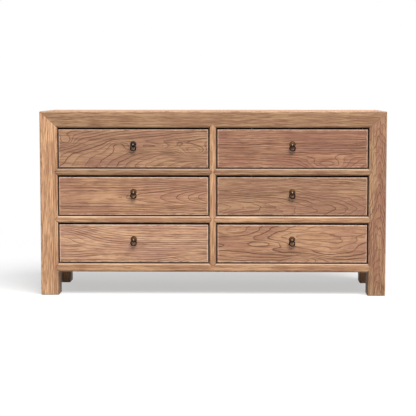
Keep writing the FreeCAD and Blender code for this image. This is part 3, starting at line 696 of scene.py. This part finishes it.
AGED_BRASS = MetalFinish("aged_brass", dark=paint(42, 24, 10), bright=paint(98, 62, 24), tarnish_share=0.85)
DARK_BRASS = MetalFinish("dark_brass", dark=paint(15, 8, 7), bright=paint(34, 20, 16), tarnish_share=0.9)
DARK_IRON = MetalFinish(
    "dark_iron", dark=paint(16, 7, 6), bright=paint(32, 14, 11), tarnish_share=0.8,
    metal=0.1, smooth=0.6, dull=0.85, specular=0.25,
)


@dataclass(frozen=True)
class CasePlan:
    """Where the case's corners and drawer openings are, in metres."""

    front: float
    middle: Triple
    corner: Triple
    mitre_size: Triple
    inner_edge: float
    outer_edge: float
    row_base: float
    row_pitch: float
    row_height: float
    opening_middle: float
    opening_half: float
    bottom_middle: float
    bottom_half: float
    seam_width: float = 0.022
    beak_depth: float = 0.014
    beak_share: float = 1 / 3
    beak_seam: float = 0.0046
    # Where the painted shade on the feet's inner sides starts and ends, and how strong it is
    foot_inward: float = -0.85
    foot_round: float = -0.15
    foot_share: float = 0.72

    @classmethod
    def read(cls) -> "CasePlan":
        """Reads the plan off the boxes of the frame's posts, stile and rails."""
        post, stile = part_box("front_right_post"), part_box("centre_stile")
        back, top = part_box("back_right_post"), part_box("front_top_rail")
        bottom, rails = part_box("front_bottom_rail"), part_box("right_drawer_rails")
        depth = (post[0].y + back[1].y) / 2
        base, ceiling = bottom[1].z, top[0].z
        first_rail = rails[0].z
        height = first_rail - base
        return cls(
            front=post[0].y,
            middle=(0.0, depth, 0.0),
            corner=(post[1].x, back[1].y - depth, top[1].z),
            mitre_size=(post[1].x - post[0].x, post[1].y - post[0].y, top[1].z - ceiling),
            inner_edge=stile[1].x,
            outer_edge=post[0].x,
            row_base=base,
            row_pitch=(ceiling - height - base) / (ROWS - 1),
            row_height=height,
            opening_middle=(base + ceiling) / 2,
            opening_half=(ceiling - base) / 2,
            bottom_middle=(bottom[0].z + base) / 2,
            bottom_half=(base - bottom[0].z) / 2,
        )


CASE_PLAN = CasePlan.read()


class BoardWood:
    """Wires the wood of one board, or of one row of boards."""

    def __init__(
        self, shop: "Workshop", wire: Wiring, finish: WoodFinish, lay: Lay, cut: Cut, box: Box
    ) -> None:
        """Finds where a point of the surface lies in the wood.

        Args:
            shop: Keeps the shared groups.
            wire: The material's wiring.
            finish: The board's colours.
            lay: Which way it lies.
            cut: How it was sawn.
            box: Its lowest and highest corners.
        """
        self.shop, self.wire, self.finish, self.cut, self.box = shop, wire, finish.toned(cut.tone), cut, box
        low, high = box
        spot = wire.add("ShaderNodeTexCoord").outputs
        self.place = spot["Object"]
        centred = wire.add("ShaderNodeMapping", {"Vector": self.place, "Location": tuple((low + high) / -2)})
        at, self.facing = wire.parts(centred.outputs[0]), wire.parts(spot["Normal"])
        self.grain: Feed = wire.whole(*(at[axis] for axis in lay.value))
        self.outward = wire.whole(*(self.facing[axis] for axis in lay.value))
        across = lay.value[1]
        span = (high - low)[AXES.index(across)]
        self.shade = wire.on_top(at[across], -2 * cut.fade / span, 1.0)
        self.seed: Feed = cut.seed
        self.board: Feed = NOISE_MIDDLE
        if cut.split is not Split.SINGLE:
            axis = lay.value[AXES.index(cut.split.value)]
            pitch = (high - low)[AXES.index(axis)] / cut.boards
            number = wire.plus(at[axis], pitch * (cut.boards % 2) / 2)
            row = wire.place(shop.board, Vector=self.grain, Place=number, Pitch=pitch, Seed=cut.seed)
            self.grain, self.board = row["Vector"], row["Board"]
            self.seed = wire.on_top(self.board, cut.seed_spread, cut.seed)

    def elm(self) -> Sockets:
        """Gives the wood's colour, relief and roughness."""
        wire, seed, count = self.wire, self.seed, self.count(self.grain)
        rings = wire.place(
            self.shop.rings, Vector=self.grain, Count=count, Slope=self.slope(count), Seed=seed,
            Line_width=self.cut.line_width,
        )
        shares = "line_depth streak_depth rosy_share wear_share"
        return wire.place(
            self.shop.elm,
            **rings,
            **wire.place(self.shop.fibres, Vector=self.grain, Seed=seed),
            **self.wear(),
            Board=self.board,
            Shade=self.shade,
            **named(self.finish, f"pale deep rosy ink worn dirt {shares}"),
        )

    def count(self, grain: Feed) -> Socket:
        """Counts the rings from the heart to a point, given along, across and through the board."""
        lift: Feed = 0.0
        for swirl in self.cut.swirls:
            spot, reach = (swirl.along, swirl.across, 0.0), (swirl.long, swirl.wide, 1.0)
            swirled = self.wire.place(
                self.shop.swirl, Vector=grain, Before=lift, Place=spot, Reach=reach, Lift=swirl.lift
            )
            lift = swirled["Lift"]
        sawn = named(self.cut, "ring_width heart_depth heart_side rise sway sway_size ruffle")
        return self.wire.place(self.shop.log, Vector=grain, Lift=lift, Seed=self.seed, **sawn)["Count"]

    def slope(self, count: Socket) -> Socket:
        """Works out how fast the rings follow each other along the surface.

        Args:
            count: The number of rings at the point.

        Returns:
            The number of rings in a metre.
        """
        wire, stride = self.wire, self.cut.stride
        changes = []
        for shift in ((stride, 0.0, 0.0), (0.0, stride, 0.0), (0.0, 0.0, stride)):
            beside = self.count(wire.vector("ADD", self.grain, shift))
            changes.append(wire.over(wire.minus(beside, count), stride))
        climb = wire.whole(*changes)
        through = wire.vector("DOT_PRODUCT", climb, self.outward)
        sunk = wire.vector("MULTIPLY", self.outward, wire.whole(through, through, through))
        return wire.vector("LENGTH", wire.vector("SUBTRACT", climb, sunk))

    def wear(self) -> Sockets:
        """Finds where the board is worn pale, has a seam, gets painted shade or gets a painted highlight, and
        gives the masks by name.
        """
        wire, finish = self.wire, self.finish
        low, high = (tuple(corner) for corner in self.box)
        width, seed = finish.wear_width, self.cut.seed
        masks = wire.place(self.shop.arris, Vector=self.place, Low=low, High=high, Width=width, Seed=seed)
        gaps = named(CASE_PLAN, "front inner_edge outer_edge row_base row_pitch row_height")
        depths = named(finish, "clean_depth full_depth")
        # Painted shade in the gaps round the drawers
        masks |= wire.place(self.shop.grime, Vector=self.place, **gaps, **depths)
        if finish.jointed:
            masks["Seam"] = self.seams()
            # Painted shade on the inner sides of the feet too
            masks["Grime"] = wire.most(masks["Grime"], self.foot_dirt())
        # Painted highlight on faces that look up, laid into the wear mask
        if finish.crown_share:
            top = wire.step(self.facing["Z"], finish.crown_low, finish.crown_high)
            masks["Wear"] = wire.most(masks["Wear"], wire.times(top, finish.crown_share))
        return masks

    def foot_dirt(self) -> Socket:
        """Finds the inner sides of the feet, where shade is painted."""
        wire, plan = self.wire, CASE_PLAN
        at = wire.parts(self.place)
        below = wire.math("LESS_THAN", at["Z"], plan.bottom_middle - plan.bottom_half)
        outward = wire.times(self.facing["X"], wire.math("SIGN", at["X"]))
        return wire.times(wire.step(outward, plan.foot_inward, plan.foot_round, plan.foot_share, 0.0), below)

    def seams(self) -> Socket:
        """Finds the seams of the mitres, and those round the pointed ends of the rails and the stile."""
        wire, plan, place = self.wire, CASE_PLAN, self.place
        corners = named(plan, "middle corner")
        mitre = wire.place(
            self.shop.mitre, Vector=place, **corners, Size=plan.mitre_size, Width=plan.seam_width
        )["Seam"]
        at = wire.parts(place)
        on_end = wire.whole(wire.minus(at["Z"], plan.opening_middle), at["Y"], at["X"])
        rail_half = (plan.row_pitch - plan.row_height) / 2
        ends = [(on_end, plan.opening_half, 1.0, 0.0, plan.inner_edge)]
        ends.append((place, plan.outer_edge, 1.0, plan.bottom_middle, plan.bottom_half))
        for row in range(1, ROWS):
            middle = plan.row_base + row * plan.row_pitch - rail_half
            ends.append((place, plan.outer_edge, 1.0, middle, rail_half))
            ends.append((place, plan.inner_edge, -1.0, middle, rail_half))
        found: Feed = 0.0
        for vector, edge, way, middle, half in ends:
            where = {"Vector": vector, "Edge": edge, "Way": way, "Middle": middle, "Half": half}
            beak = wire.place(self.shop.beak, **where, Depth=plan.beak_depth, Width=plan.beak_seam)["Seam"]
            found = wire.most(found, beak)
        front = wire.math("LESS_THAN", at["Y"], plan.front + plan.mitre_size[1] * plan.beak_share)
        return wire.most(mitre, wire.times(found, front))


class Workshop:
    """Keeps the shared groups, and makes the materials that boards and fittings are dressed in."""

    def __init__(self) -> None:
        """Makes each shared group once."""
        self.swirl = swirl_group()
        self.board = board_group()
        self.log = log_group()
        self.rings = ring_group()
        self.fibres = fibre_group()
        self.elm = elm_group()
        self.arris = arris_group()
        self.mitre = mitre_group()
        # Painted shade in the gaps round the drawers
        self.grime = gap_shade_group()
        self.tarnish = tarnish_group()
        self.spot = spot_group()
        self.beak = beak_group()

    @staticmethod
    def start(name: str) -> tuple[Material, Wiring, Node]:
        """Starts a material.

        Args:
            name: The material's name.

        Returns:
            The material, its wiring and its main shader.
        """
        material = bpy.data.materials.new(name)
        material.use_nodes = True
        return material, Wiring(material.node_tree), material.node_tree.nodes["Principled BSDF"]

    @staticmethod
    def coat(
        wire: Wiring, shader: Node, finish: Union[WoodFinish, MetalFinish], relief: Socket, **feeds: Feed
    ) -> None:
        """Feeds a main shader with what the surface shows.

        Args:
            wire: The material's wiring.
            shader: Its main shader.
            finish: Its finish, which has its gloss and the full depth of its relief.
            relief: The height, where 1 is the full depth.
            **feeds: The shader's other inputs, with _ for a space.
        """
        bump = wire.add("ShaderNodeBump", {"Strength": 1.0, "Distance": finish.relief, "Height": relief})
        feeds |= {"Specular_IOR_Level": finish.specular, "Normal": bump.outputs["Normal"]}
        for name, value in feeds.items():
            wire.feed(shader.inputs[name.replace("_", " ")], value)

    def metal(
        self, name: str, finish: MetalFinish, seed: float,
        spot: Triple = (0.0, 0.0, 0.0), reach: float = 0.0001,
    ) -> Material:
        """Makes an old metal.

        Args:
            name: The material's name.
            finish: Its colours.
            seed: Picks its pattern of tarnish.
            spot: The middle of a spot that gets a painted highlight.
            reach: That spot's radius.

        Returns:
            The material.
        """
        material, wire, shader = self.start(name)
        place = wire.add("ShaderNodeTexCoord").outputs["Object"]
        worn = wire.place(self.tarnish, Vector=place, Seed=seed, Grain=finish.grain)
        dark = wire.most(wire.times(worn["Tarnish"], finish.tarnish_share), worn["Pit"])
        dark = wire.math("MULTIPLY_ADD", worn["Scratch"], -finish.scratch_share, dark, clamp=True)
        # Painted highlight: a pale round spot on the bolt head at the plate's middle
        rubbed = wire.place(self.spot, Vector=place, Place=spot, Radius=reach)["Spot"]
        colour = wire.blend(dark, finish.bright, finish.dark)
        self.coat(
            wire, shader, finish, wire.times(dark, -1.0),
            Base_Color=wire.blend(rubbed, colour, finish.rubbed),
            Metallic=wire.step(dark, 0.0, 1.0, finish.metal, finish.metal * finish.dark_metal),
            Roughness=wire.step(dark, 0.0, 1.0, finish.smooth, finish.dull),
        )
        return material

    def dress(self, node: str, material: Material) -> None:
        """Puts a material on a piece of the frame.

        Args:
            node: The piece.
            material: The material.
        """
        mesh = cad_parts[node].data
        for index in range(len(mesh.materials)):
            mesh.materials[index] = material
        LOG.info("%s dressed in %s", node, material.name)

    def dress_board(self, node: str, finish: WoodFinish, lay: Lay, cut: Cut) -> None:
        """Dresses a board, or a row of boards, in wood of its own.

        Args:
            node: The piece.
            finish: Its colours.
            lay: Which way it lies.
            cut: How it was sawn.
        """
        material, wire, shader = self.start(f"{finish.name}.{node}")
        elm = BoardWood(self, wire, finish, lay, cut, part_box(node)).elm()
        self.coat(wire, shader, finish, elm["Relief"], Base_Color=elm["Colour"], Roughness=elm["Roughness"])
        self.dress(node, material)


@dataclass
class Case:
    """The fixed case: posts, mitred top, rails, stile, side panels, back and runners."""

    shop: Workshop
    straight: Cut = Cut(seed=1.0, ring_width=0.0045, heart_side=0.22, sway=0.012, sway_size=(0.8, 0.05, 0.05))
    flat: Cut = Cut(
        seed=60.0, ring_width=0.006, heart_side=0.02, heart_depth=0.09, rise=0.03, sway=0.025,
        split=Split.ACROSS, boards=3,
    )

    def dress(self) -> None:
        """Dresses every piece of the case."""
        self.dress_posts()
        self.dress_rails()
        self.dress_panels()
        self.dress_inside()

    def dress_straight(self, node: str, finish: WoodFinish, lay: Lay, **changes: Any) -> None:
        """Dresses a piece in straight-grained wood, whose cut differs from the usual one by the changes."""
        self.shop.dress_board(node, finish, lay, replace(self.straight, **changes))

    def dress_posts(self) -> None:
        """Dresses the four posts and the stile between the drawers."""
        upright = Lay.FRONT_UPRIGHT
        # The posts' finishes also set how far behind the front the painted shade at their edges starts
        calm = replace(FRAME_WOOD, line_depth=0.75, streak_depth=2.6, clean_depth=0.0015, full_depth=0.0045)
        bold = replace(
            FRAME_WOOD, line_depth=1.0, streak_depth=3.1, ink=paint(92, 56, 40), rosy=paint(192, 136, 110),
            rosy_share=0.65, clean_depth=0.001, full_depth=0.004,
        )
        # The stile's edges get a broader band of painted shade
        broad_shade_wood = replace(FRAME_WOOD, clean_depth=0.0006, full_depth=0.0036)
        right = Cut(
            seed=3.0, ring_width=0.0032, heart_side=0.006, heart_depth=0.036, rise=-0.07, sway=0.011,
            sway_size=(0.10, 0.022, 0.022), ruffle=0.0016, line_width=0.0036, tone=0.76,
        )
        self.dress_straight(
            "front_left_post", calm, upright,
            seed=2.0, heart_side=-0.06, heart_depth=0.10, rise=0.03, sway=0.014, tone=1.26,
        )
        self.shop.dress_board("front_right_post", bold, upright, right)
        for number, node in enumerate(("back_left_post", "back_right_post")):
            self.dress_straight(node, FRAME_WOOD, upright, seed=20.0 + number, rise=0.02)
        self.dress_straight("centre_stile", broad_shade_wood, upright, seed=4.0, tone=1.2)
        self.dress_straight("back_stile", INNER_WOOD, upright, seed=5.0)

    def dress_rails(self) -> None:
        """Dresses the rails of the top frame, of the bottom and between the drawers."""
        tones = {
            "front_top_rail": 0.78, "back_top_rail": 1.0, "front_bottom_rail": 1.06, "back_bottom_rail": 1.0,
        }
        for number, (node, tone) in enumerate(tones.items()):
            wood = RAIL_WOOD if node == "front_bottom_rail" else FRAME_WOOD
            self.dress_straight(node, wood, Lay.FRONT_LONG, seed=30.0 + number, tone=tone)
        side_rails = ("left_top_rail", "right_top_rail", "left_bottom_rail", "right_bottom_rail")
        for number, node in enumerate(side_rails):
            self.dress_straight(node, FRAME_WOOD, Lay.SIDE_LONG, seed=40.0 + number)
        fades = {"left_drawer_rails": 0.28, "right_drawer_rails": 0.2}
        for number, (node, fade) in enumerate(fades.items()):
            two = {"tone": 0.96, "fade": fade, "split": Split.ACROSS, "boards": 2}
            self.dress_straight(node, RAIL_WOOD, Lay.FRONT_LONG, seed=50.0 + number, **two)

    def dress_panels(self) -> None:
        """Dresses the top, the two sides and the back."""
        self.shop.dress_board("top_boards", PANEL_WOOD, Lay.FLAT_LONG, self.flat)
        for number, node in enumerate(("left_side_panel", "right_side_panel")):
            cut = replace(self.flat, seed=70.0 + number, boards=2)
            self.shop.dress_board(node, PANEL_WOOD, Lay.SIDE_UPRIGHT, cut)
        back = replace(self.flat, seed=80.0, boards=8)
        self.shop.dress_board("back_boards", INNER_WOOD, Lay.FRONT_UPRIGHT, back)

    def dress_inside(self) -> None:
        """Dresses what only shows with a drawer out."""
        lays = {
            "top_battens": (Lay.FLAT_DEEP, 90.0),
            "side_runners": (Lay.SIDE_LONG, 91.0),
            "centre_runners": (Lay.SIDE_LONG, 92.0),
            "drawer_stops": (Lay.FRONT_LONG, 94.0),
        }
        for node, (lay, seed) in lays.items():
            self.dress_straight(node, INNER_WOOD, lay, seed=seed, split=Split.ACROSS, boards=3)


class Row(Enum):
    """The three rows of drawers."""

    UPPER = "upper"
    MIDDLE = "middle"
    LOWER = "lower"


class Side(Enum):
    """The two columns of drawers."""

    LEFT = "left"
    RIGHT = "right"


FRONT_WOODS = {(Row.UPPER, Side.RIGHT): RED_WOOD, (Row.LOWER, Side.LEFT): FAIR_WOOD}
FRONT_CUTS: dict[tuple[Row, Side], Cut] = {
    (Row.UPPER, Side.LEFT): Cut(
        seed=101.0, ring_width=0.011, heart_side=-0.105, heart_depth=0.10, rise=0.22, sway=0.022,
        sway_size=(0.22, 0.06, 0.06), line_width=0.006, tone=0.82,
        swirls=(
            Swirl(-0.31, 0.035, 0.035, 0.024, 0.034),
            Swirl(0.285, -0.015, 0.075, 0.032, 0.070),
            Swirl(0.09, 0.008, 0.10, 0.018, 0.040),
            Swirl(-0.07, 0.016, 0.05, 0.022, -0.026),
        ),
    ),
    (Row.MIDDLE, Side.LEFT): Cut(
        seed=102.0, ring_width=0.0065, heart_side=-0.005, heart_depth=0.0618, sway=0.003,
        sway_size=(0.6, 0.05, 0.05), tone=1.00, swirls=(Swirl(0.5, -0.005, 0.28, 0.06, -0.045),),
    ),
    (Row.LOWER, Side.LEFT): Cut(
        seed=103.0, ring_width=0.009, heart_side=0.16, heart_depth=0.06, sway=0.020,
        sway_size=(0.55, 0.06, 0.06),
        swirls=(
            Swirl(-0.36, 0.05, 0.20, 0.06, 0.060),
            Swirl(-0.11, -0.055, 0.12, 0.012, 0.012),
            Swirl(0.28, -0.08, 0.09, 0.03, 0.028),
        ),
    ),
    (Row.UPPER, Side.RIGHT): Cut(
        seed=104.0, ring_width=0.0055, heart_side=-0.10, heart_depth=0.09, sway=0.020,
        sway_size=(0.45, 0.06, 0.06), tone=0.82,
        swirls=(Swirl(0.16, -0.075, 0.10, 0.035, 0.028), Swirl(-0.25, 0.0, 0.2, 0.03, 0.012)),
    ),
    (Row.MIDDLE, Side.RIGHT): Cut(
        seed=105.0, ring_width=0.0065, heart_side=-0.055, heart_depth=0.06, rise=-0.08, sway=0.032,
        sway_size=(0.22, 0.06, 0.06), tone=0.81,
    ),
    (Row.LOWER, Side.RIGHT): Cut(
        seed=106.0, ring_width=0.010, heart_side=0.03, heart_depth=0.12, rise=0.05, sway=0.036,
        sway_size=(0.26, 0.06, 0.06), line_width=0.006, tone=0.97,
        swirls=(
            Swirl(-0.14, 0.0, 0.10, 0.022, 0.024),
            Swirl(0.05, -0.07, 0.08, 0.020, 0.026),
            Swirl(0.38, 0.0, 0.11, 0.07, 0.024),
            Swirl(-0.30, 0.06, 0.16, 0.040, 0.030),
        ),
    ),
}


@dataclass
class Drawer:
    """One drawer: its front, two sides, back and bottom."""

    shop: Workshop
    row: Row
    side: Side
    finish: WoodFinish = DRAWER_WOOD
    inner_seed: float = 100.0
    seed_step: float = 20.0

    def dress(self) -> None:
        """Dresses the drawer's four kinds of board."""
        front = FRONT_CUTS[self.row, self.side]
        sides = Cut(
            front.seed + self.inner_seed, ring_width=0.006, heart_side=0.05, heart_depth=0.08, sway=0.02,
            split=Split.THROUGH, boards=2,
        )
        back = replace(sides, seed=sides.seed + self.seed_step, split=Split.SINGLE)
        bottom = replace(back, seed=back.seed + self.seed_step, split=Split.ACROSS, boards=3)
        boards = {
            "front": (self.finish, Lay.FRONT_LONG, front),
            "sides": (INNER_WOOD, Lay.SIDE_LONG, sides),
            "back": (INNER_WOOD, Lay.FRONT_LONG, back),
            "bottom": (INNER_WOOD, Lay.FLAT_LONG, bottom),
        }
        for piece, (finish, lay, cut) in boards.items():
            self.shop.dress_board(f"{self.row.value}_{self.side.value}_drawer_{piece}", finish, lay, cut)


@dataclass
class Pull:
    """One pull: a brass plate with its eye, and the iron ring that hangs from it."""

    shop: Workshop
    row: Row
    side: Side
    seed: float
    plate: MetalFinish = AGED_BRASS
    ring: MetalFinish = DARK_IRON
    bolt_radius: float = 0.003
    seed_step: float = 50.0

    def dress(self) -> None:
        """Dresses the plate with its eye, and the ring."""
        name = f"{self.row.value}_{self.side.value}"
        low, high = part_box(f"{name}_pull_fitting")
        middle = tuple((low + high) / 2)
        # The plate gets a painted highlight the size of the bolt head at its middle
        plate = self.shop.metal(f"{self.plate.name}.{name}", self.plate, self.seed, middle, self.bolt_radius)
        ring = self.shop.metal(f"{self.ring.name}.{name}", self.ring, self.seed + self.seed_step)
        self.shop.dress(f"{name}_pull_fitting", plate)
        self.shop.dress(f"{name}_pull_ring", ring)


@dataclass
class BackNails:
    """The nails that hold the back boards in their rebate, two at each end of each board."""

    shop: Workshop
    boards: int = 8
    from_edge: float = 0.025
    from_end: float = 0.006
    head_radius: float = 0.0035
    head_rise: float = 0.0012
    segments: int = 10
    smallest: float = 0.85
    metal_seed: float = 400.0
    seed: int = 7

    def tree(self) -> NodeTree:
        """Makes the Geometry Nodes tree that sets the nail heads in two rows, with named sizes."""
        wire = SharedGroup(
            "Back nails",
            {
                "Geometry": "Geometry",
                "Float": "Board pitch, Nail spacing, Row spacing, Head radius, Head rise",
                "Int": "Boards, Seed",
                "Vector": "Centre",
                "Material": "Metal",
            },
            {"Geometry": "Geometry"},
            "GeometryNodeTree",
        )
        _, pitch, nail_spacing, row_spacing, radius, rise, boards, seed, centre, metal = wire.given
        span = wire.times(pitch, wire.minus(boards, 1.0))
        rows = {"Size X": span, "Size Y": row_spacing, "Vertices X": boards, "Vertices Y": 2}
        half = wire.times(nail_spacing, 0.5)
        start, end = wire.whole(wire.times(half, -1.0), 0.0, 0.0), wire.whole(half, 0.0, 0.0)
        pair = wire.add(
            "GeometryNodeMeshLine", {"Count": 2, "Start Location": start, "Offset": end}, mode="END_POINTS"
        )
        pairs = self.set_on(wire, wire.add("GeometryNodeMeshGrid", rows), pair)
        spots = wire.add("GeometryNodeRealizeInstances", {0: pairs.outputs[0]})
        ball = {"Segments": self.segments, "Rings": self.segments // 2 + 1, "Radius": 1.0}
        size = wire.add("FunctionNodeRandomValue", {"Seed": seed}, data_type="FLOAT")
        for socket, value in zip((s for s in size.inputs if s.type == "VALUE"), (self.smallest, 1.0)):
            wire.feed(socket, value)
        wide = wire.times(radius, next(s for s in size.outputs if s.type == "VALUE"))
        heads = self.set_on(wire, spots, wire.add("GeometryNodeMeshUVSphere", ball))
        wire.feed(heads.inputs["Scale"], wire.whole(wide, wide, rise))
        turn = {"Geometry": heads.outputs[0], "Translation": centre, "Rotation": (math.pi / 2, 0.0, 0.0)}
        stand = wire.add("GeometryNodeTransform", turn)
        solid = wire.add("GeometryNodeRealizeInstances", {0: stand.outputs[0]})
        nails = wire.add("GeometryNodeSetMaterial", {"Geometry": solid.outputs[0], "Material": metal})
        return wire.put_out(Geometry=nails.outputs[0])

    @staticmethod
    def set_on(wire: Wiring, points: Node, piece: Node) -> Node:
        """Sets a piece on each of some points."""
        feeds = {"Points": points.outputs[0], "Instance": piece.outputs[0]}
        return wire.add("GeometryNodeInstanceOnPoints", feeds)

    def build(self) -> None:
        """Makes the nails as one plain mesh on the case."""
        low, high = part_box("back_boards")
        pitch = (high.x - low.x) / self.boards
        tree = self.tree()
        values = {
            "Board pitch": pitch,
            "Nail spacing": pitch - 2 * self.from_edge,
            "Row spacing": high.z - low.z - 2 * self.from_end,
            "Head radius": self.head_radius,
            "Head rise": self.head_rise,
            "Boards": self.boards,
            "Seed": self.seed,
            "Centre": ((low.x + high.x) / 2, high.y, (low.z + high.z) / 2),
            "Metal": self.shop.metal("dark_iron.back_nails", DARK_IRON, self.metal_seed),
        }
        maker = put_in_scene("nail_maker", bpy.data.meshes.new("nail_maker"))
        modifier = maker.modifiers.new("nails", "NODES")
        modifier.node_group = tree
        for socket in tree.interface.items_tree:
            if socket.in_out == "INPUT" and socket.name in values:
                modifier[socket.identifier] = values[socket.name]
        graph = bpy.context.evaluated_depsgraph_get()
        mesh = bpy.data.meshes.new_from_object(maker.evaluated_get(graph), depsgraph=graph)
        maker.modifiers.remove(modifier)
        bpy.data.objects.remove(maker)
        nails = put_in_scene("back_nails", mesh)
        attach(nails, "case")
        LOG.info("%s made, %d faces", nails.name, len(mesh.polygons))


@dataclass(frozen=True)
class Softbox:
    """A soft lamp, aimed at a point: its place and size in metres, its power in watts."""

    name: str = "key"
    place: Triple = (1.79, -4.04, 7.23)
    aim: Triple = (0.0, -0.2, 0.45)
    wide: float = 7.0
    high: float = 5.0
    power: float = 1130.0

    def hang(self) -> None:
        """Hangs the lamp in the scene."""
        lamp = bpy.data.lights.new(self.name, "AREA")
        lamp.shape = "RECTANGLE"
        lamp.size, lamp.size_y, lamp.energy = self.wide, self.high, self.power
        holder = put_in_scene(self.name, lamp)
        holder.location = self.place
        holder.rotation_euler = (Vector(self.aim) - Vector(self.place)).to_track_quat("-Z", "Y").to_euler()
        LOG.info("%s hung", self.name)


@dataclass
class Studio:
    """A plain pale floor, a white surround, a soft lamp, and the camera where the picture was taken from."""

    floor_half: float = 14.0
    floor_white: float = 0.96
    floor_bounce: float = 0.28
    floor_rough: float = 0.9
    floor_glow: float = 0.5
    floor_near: float = 0.9
    floor_far: float = 2.6
    surround: float = 0.20
    camera_aside: float = 0.14
    camera_away: float = 5.5
    camera_height: float = 0.947
    camera_pan: float = -1.087
    camera_tilt: float = 4.591
    camera_sensor: float = 36.0
    camera_lens: float = 103.45
    camera_shift: tuple[float, float] = (-0.03, -0.05)

    def build(self) -> None:
        """Makes the floor, the surround, the lamp and the camera."""
        bpy.context.scene.view_settings.view_transform = "Standard"
        self.lay_floor()
        self.light_surround()
        Softbox().hang()
        self.place_camera()

    @staticmethod
    def straight_look(wire: Wiring) -> Socket:
        """Tells a straight look, or one in a mirror or through glass, from light that bounces.

        Args:
            wire: The wiring of the floor or the surround.

        Returns:
            1 for a look, 0 for bounced light.
        """
        path = wire.add("ShaderNodeLightPath").outputs
        return wire.most(path["Is Camera Ray"], wire.most(path["Is Glossy Ray"], path["Is Transmission Ray"]))

    def lay_floor(self) -> None:
        """Lays the floor, which looks white and throws back less light than it shows."""
        half = self.floor_half
        mesh = bpy.data.meshes.new("floor")
        corners = [(-half, -half, 0.0), (half, -half, 0.0), (half, half, 0.0), (-half, half, 0.0)]
        mesh.from_pydata(corners, [], [(0, 1, 2, 3)])
        floor = put_in_scene("floor", mesh)
        material, wire, shader = Workshop.start("pale_floor")
        look = self.straight_look(wire)
        bounce, white = ((level, level, level, 1.0) for level in (self.floor_bounce, self.floor_white))
        wire.feed(shader.inputs["Base Color"], wire.blend(look, bounce, white))
        wire.feed(shader.inputs["Roughness"], self.floor_rough)
        wire.feed(shader.inputs["Specular IOR Level"], 0.0)
        away = wire.vector("LENGTH", wire.add("ShaderNodeTexCoord").outputs["Object"])
        far = wire.times(look, wire.step(away, self.floor_near, self.floor_far, self.floor_glow))
        glow = wire.add("ShaderNodeEmission", {"Color": WHITE, "Strength": 1.0})
        both = wire.add("ShaderNodeMixShader", {0: far, 1: shader.outputs[0], 2: glow.outputs[0]})
        wire.feed(material.node_tree.nodes["Material Output"].inputs["Surface"], both.outputs[0])
        mesh.materials.append(material)
        LOG.info("floor laid")

    def light_surround(self) -> None:
        """Makes the surround, which looks white and gives a low, even light."""
        world = bpy.data.worlds.new("surround")
        bpy.context.scene.world = world
        world.use_nodes = True
        wire = Wiring(world.node_tree)
        background = world.node_tree.nodes["Background"].inputs
        wire.feed(background["Color"], WHITE)
        wire.feed(background["Strength"], wire.most(self.straight_look(wire), self.surround))
        LOG.info("surround lit")

    def place_camera(self) -> None:
        """Places the camera in front of the dresser, a little above its top."""
        data = bpy.data.cameras.new("camera")
        data.sensor_width, data.lens = self.camera_sensor, self.camera_lens
        data.shift_x, data.shift_y = self.camera_shift
        camera = put_in_scene("camera", data)
        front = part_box("front_top_rail")[0].y
        camera.location = (self.camera_aside, front - self.camera_away, self.camera_height)
        pan, tilt = math.radians(self.camera_pan), math.radians(self.camera_tilt)
        camera.rotation_euler = Euler((math.pi / 2 - tilt, 0.0, -pan))
        bpy.context.scene.camera = camera
        LOG.info("camera placed")


def main() -> None:
    """Builds and dresses the dresser, piece by piece, and sets up the studio."""
    logging.basicConfig(level=logging.INFO, format="%(message)s")
    shop = Workshop()
    Case(shop).dress()
    for number, (row, side) in enumerate(FRONT_CUTS):
        Drawer(shop, row, side, FRONT_WOODS.get((row, side), DRAWER_WOOD)).dress()
        plate = DARK_BRASS if (row, side) == (Row.UPPER, Side.LEFT) else AGED_BRASS
        Pull(shop, row, side, PULL_SEED + number, plate).dress()
    BackNails(shop).build()
    Studio().build()


if __name__ == "__main__":
    main()
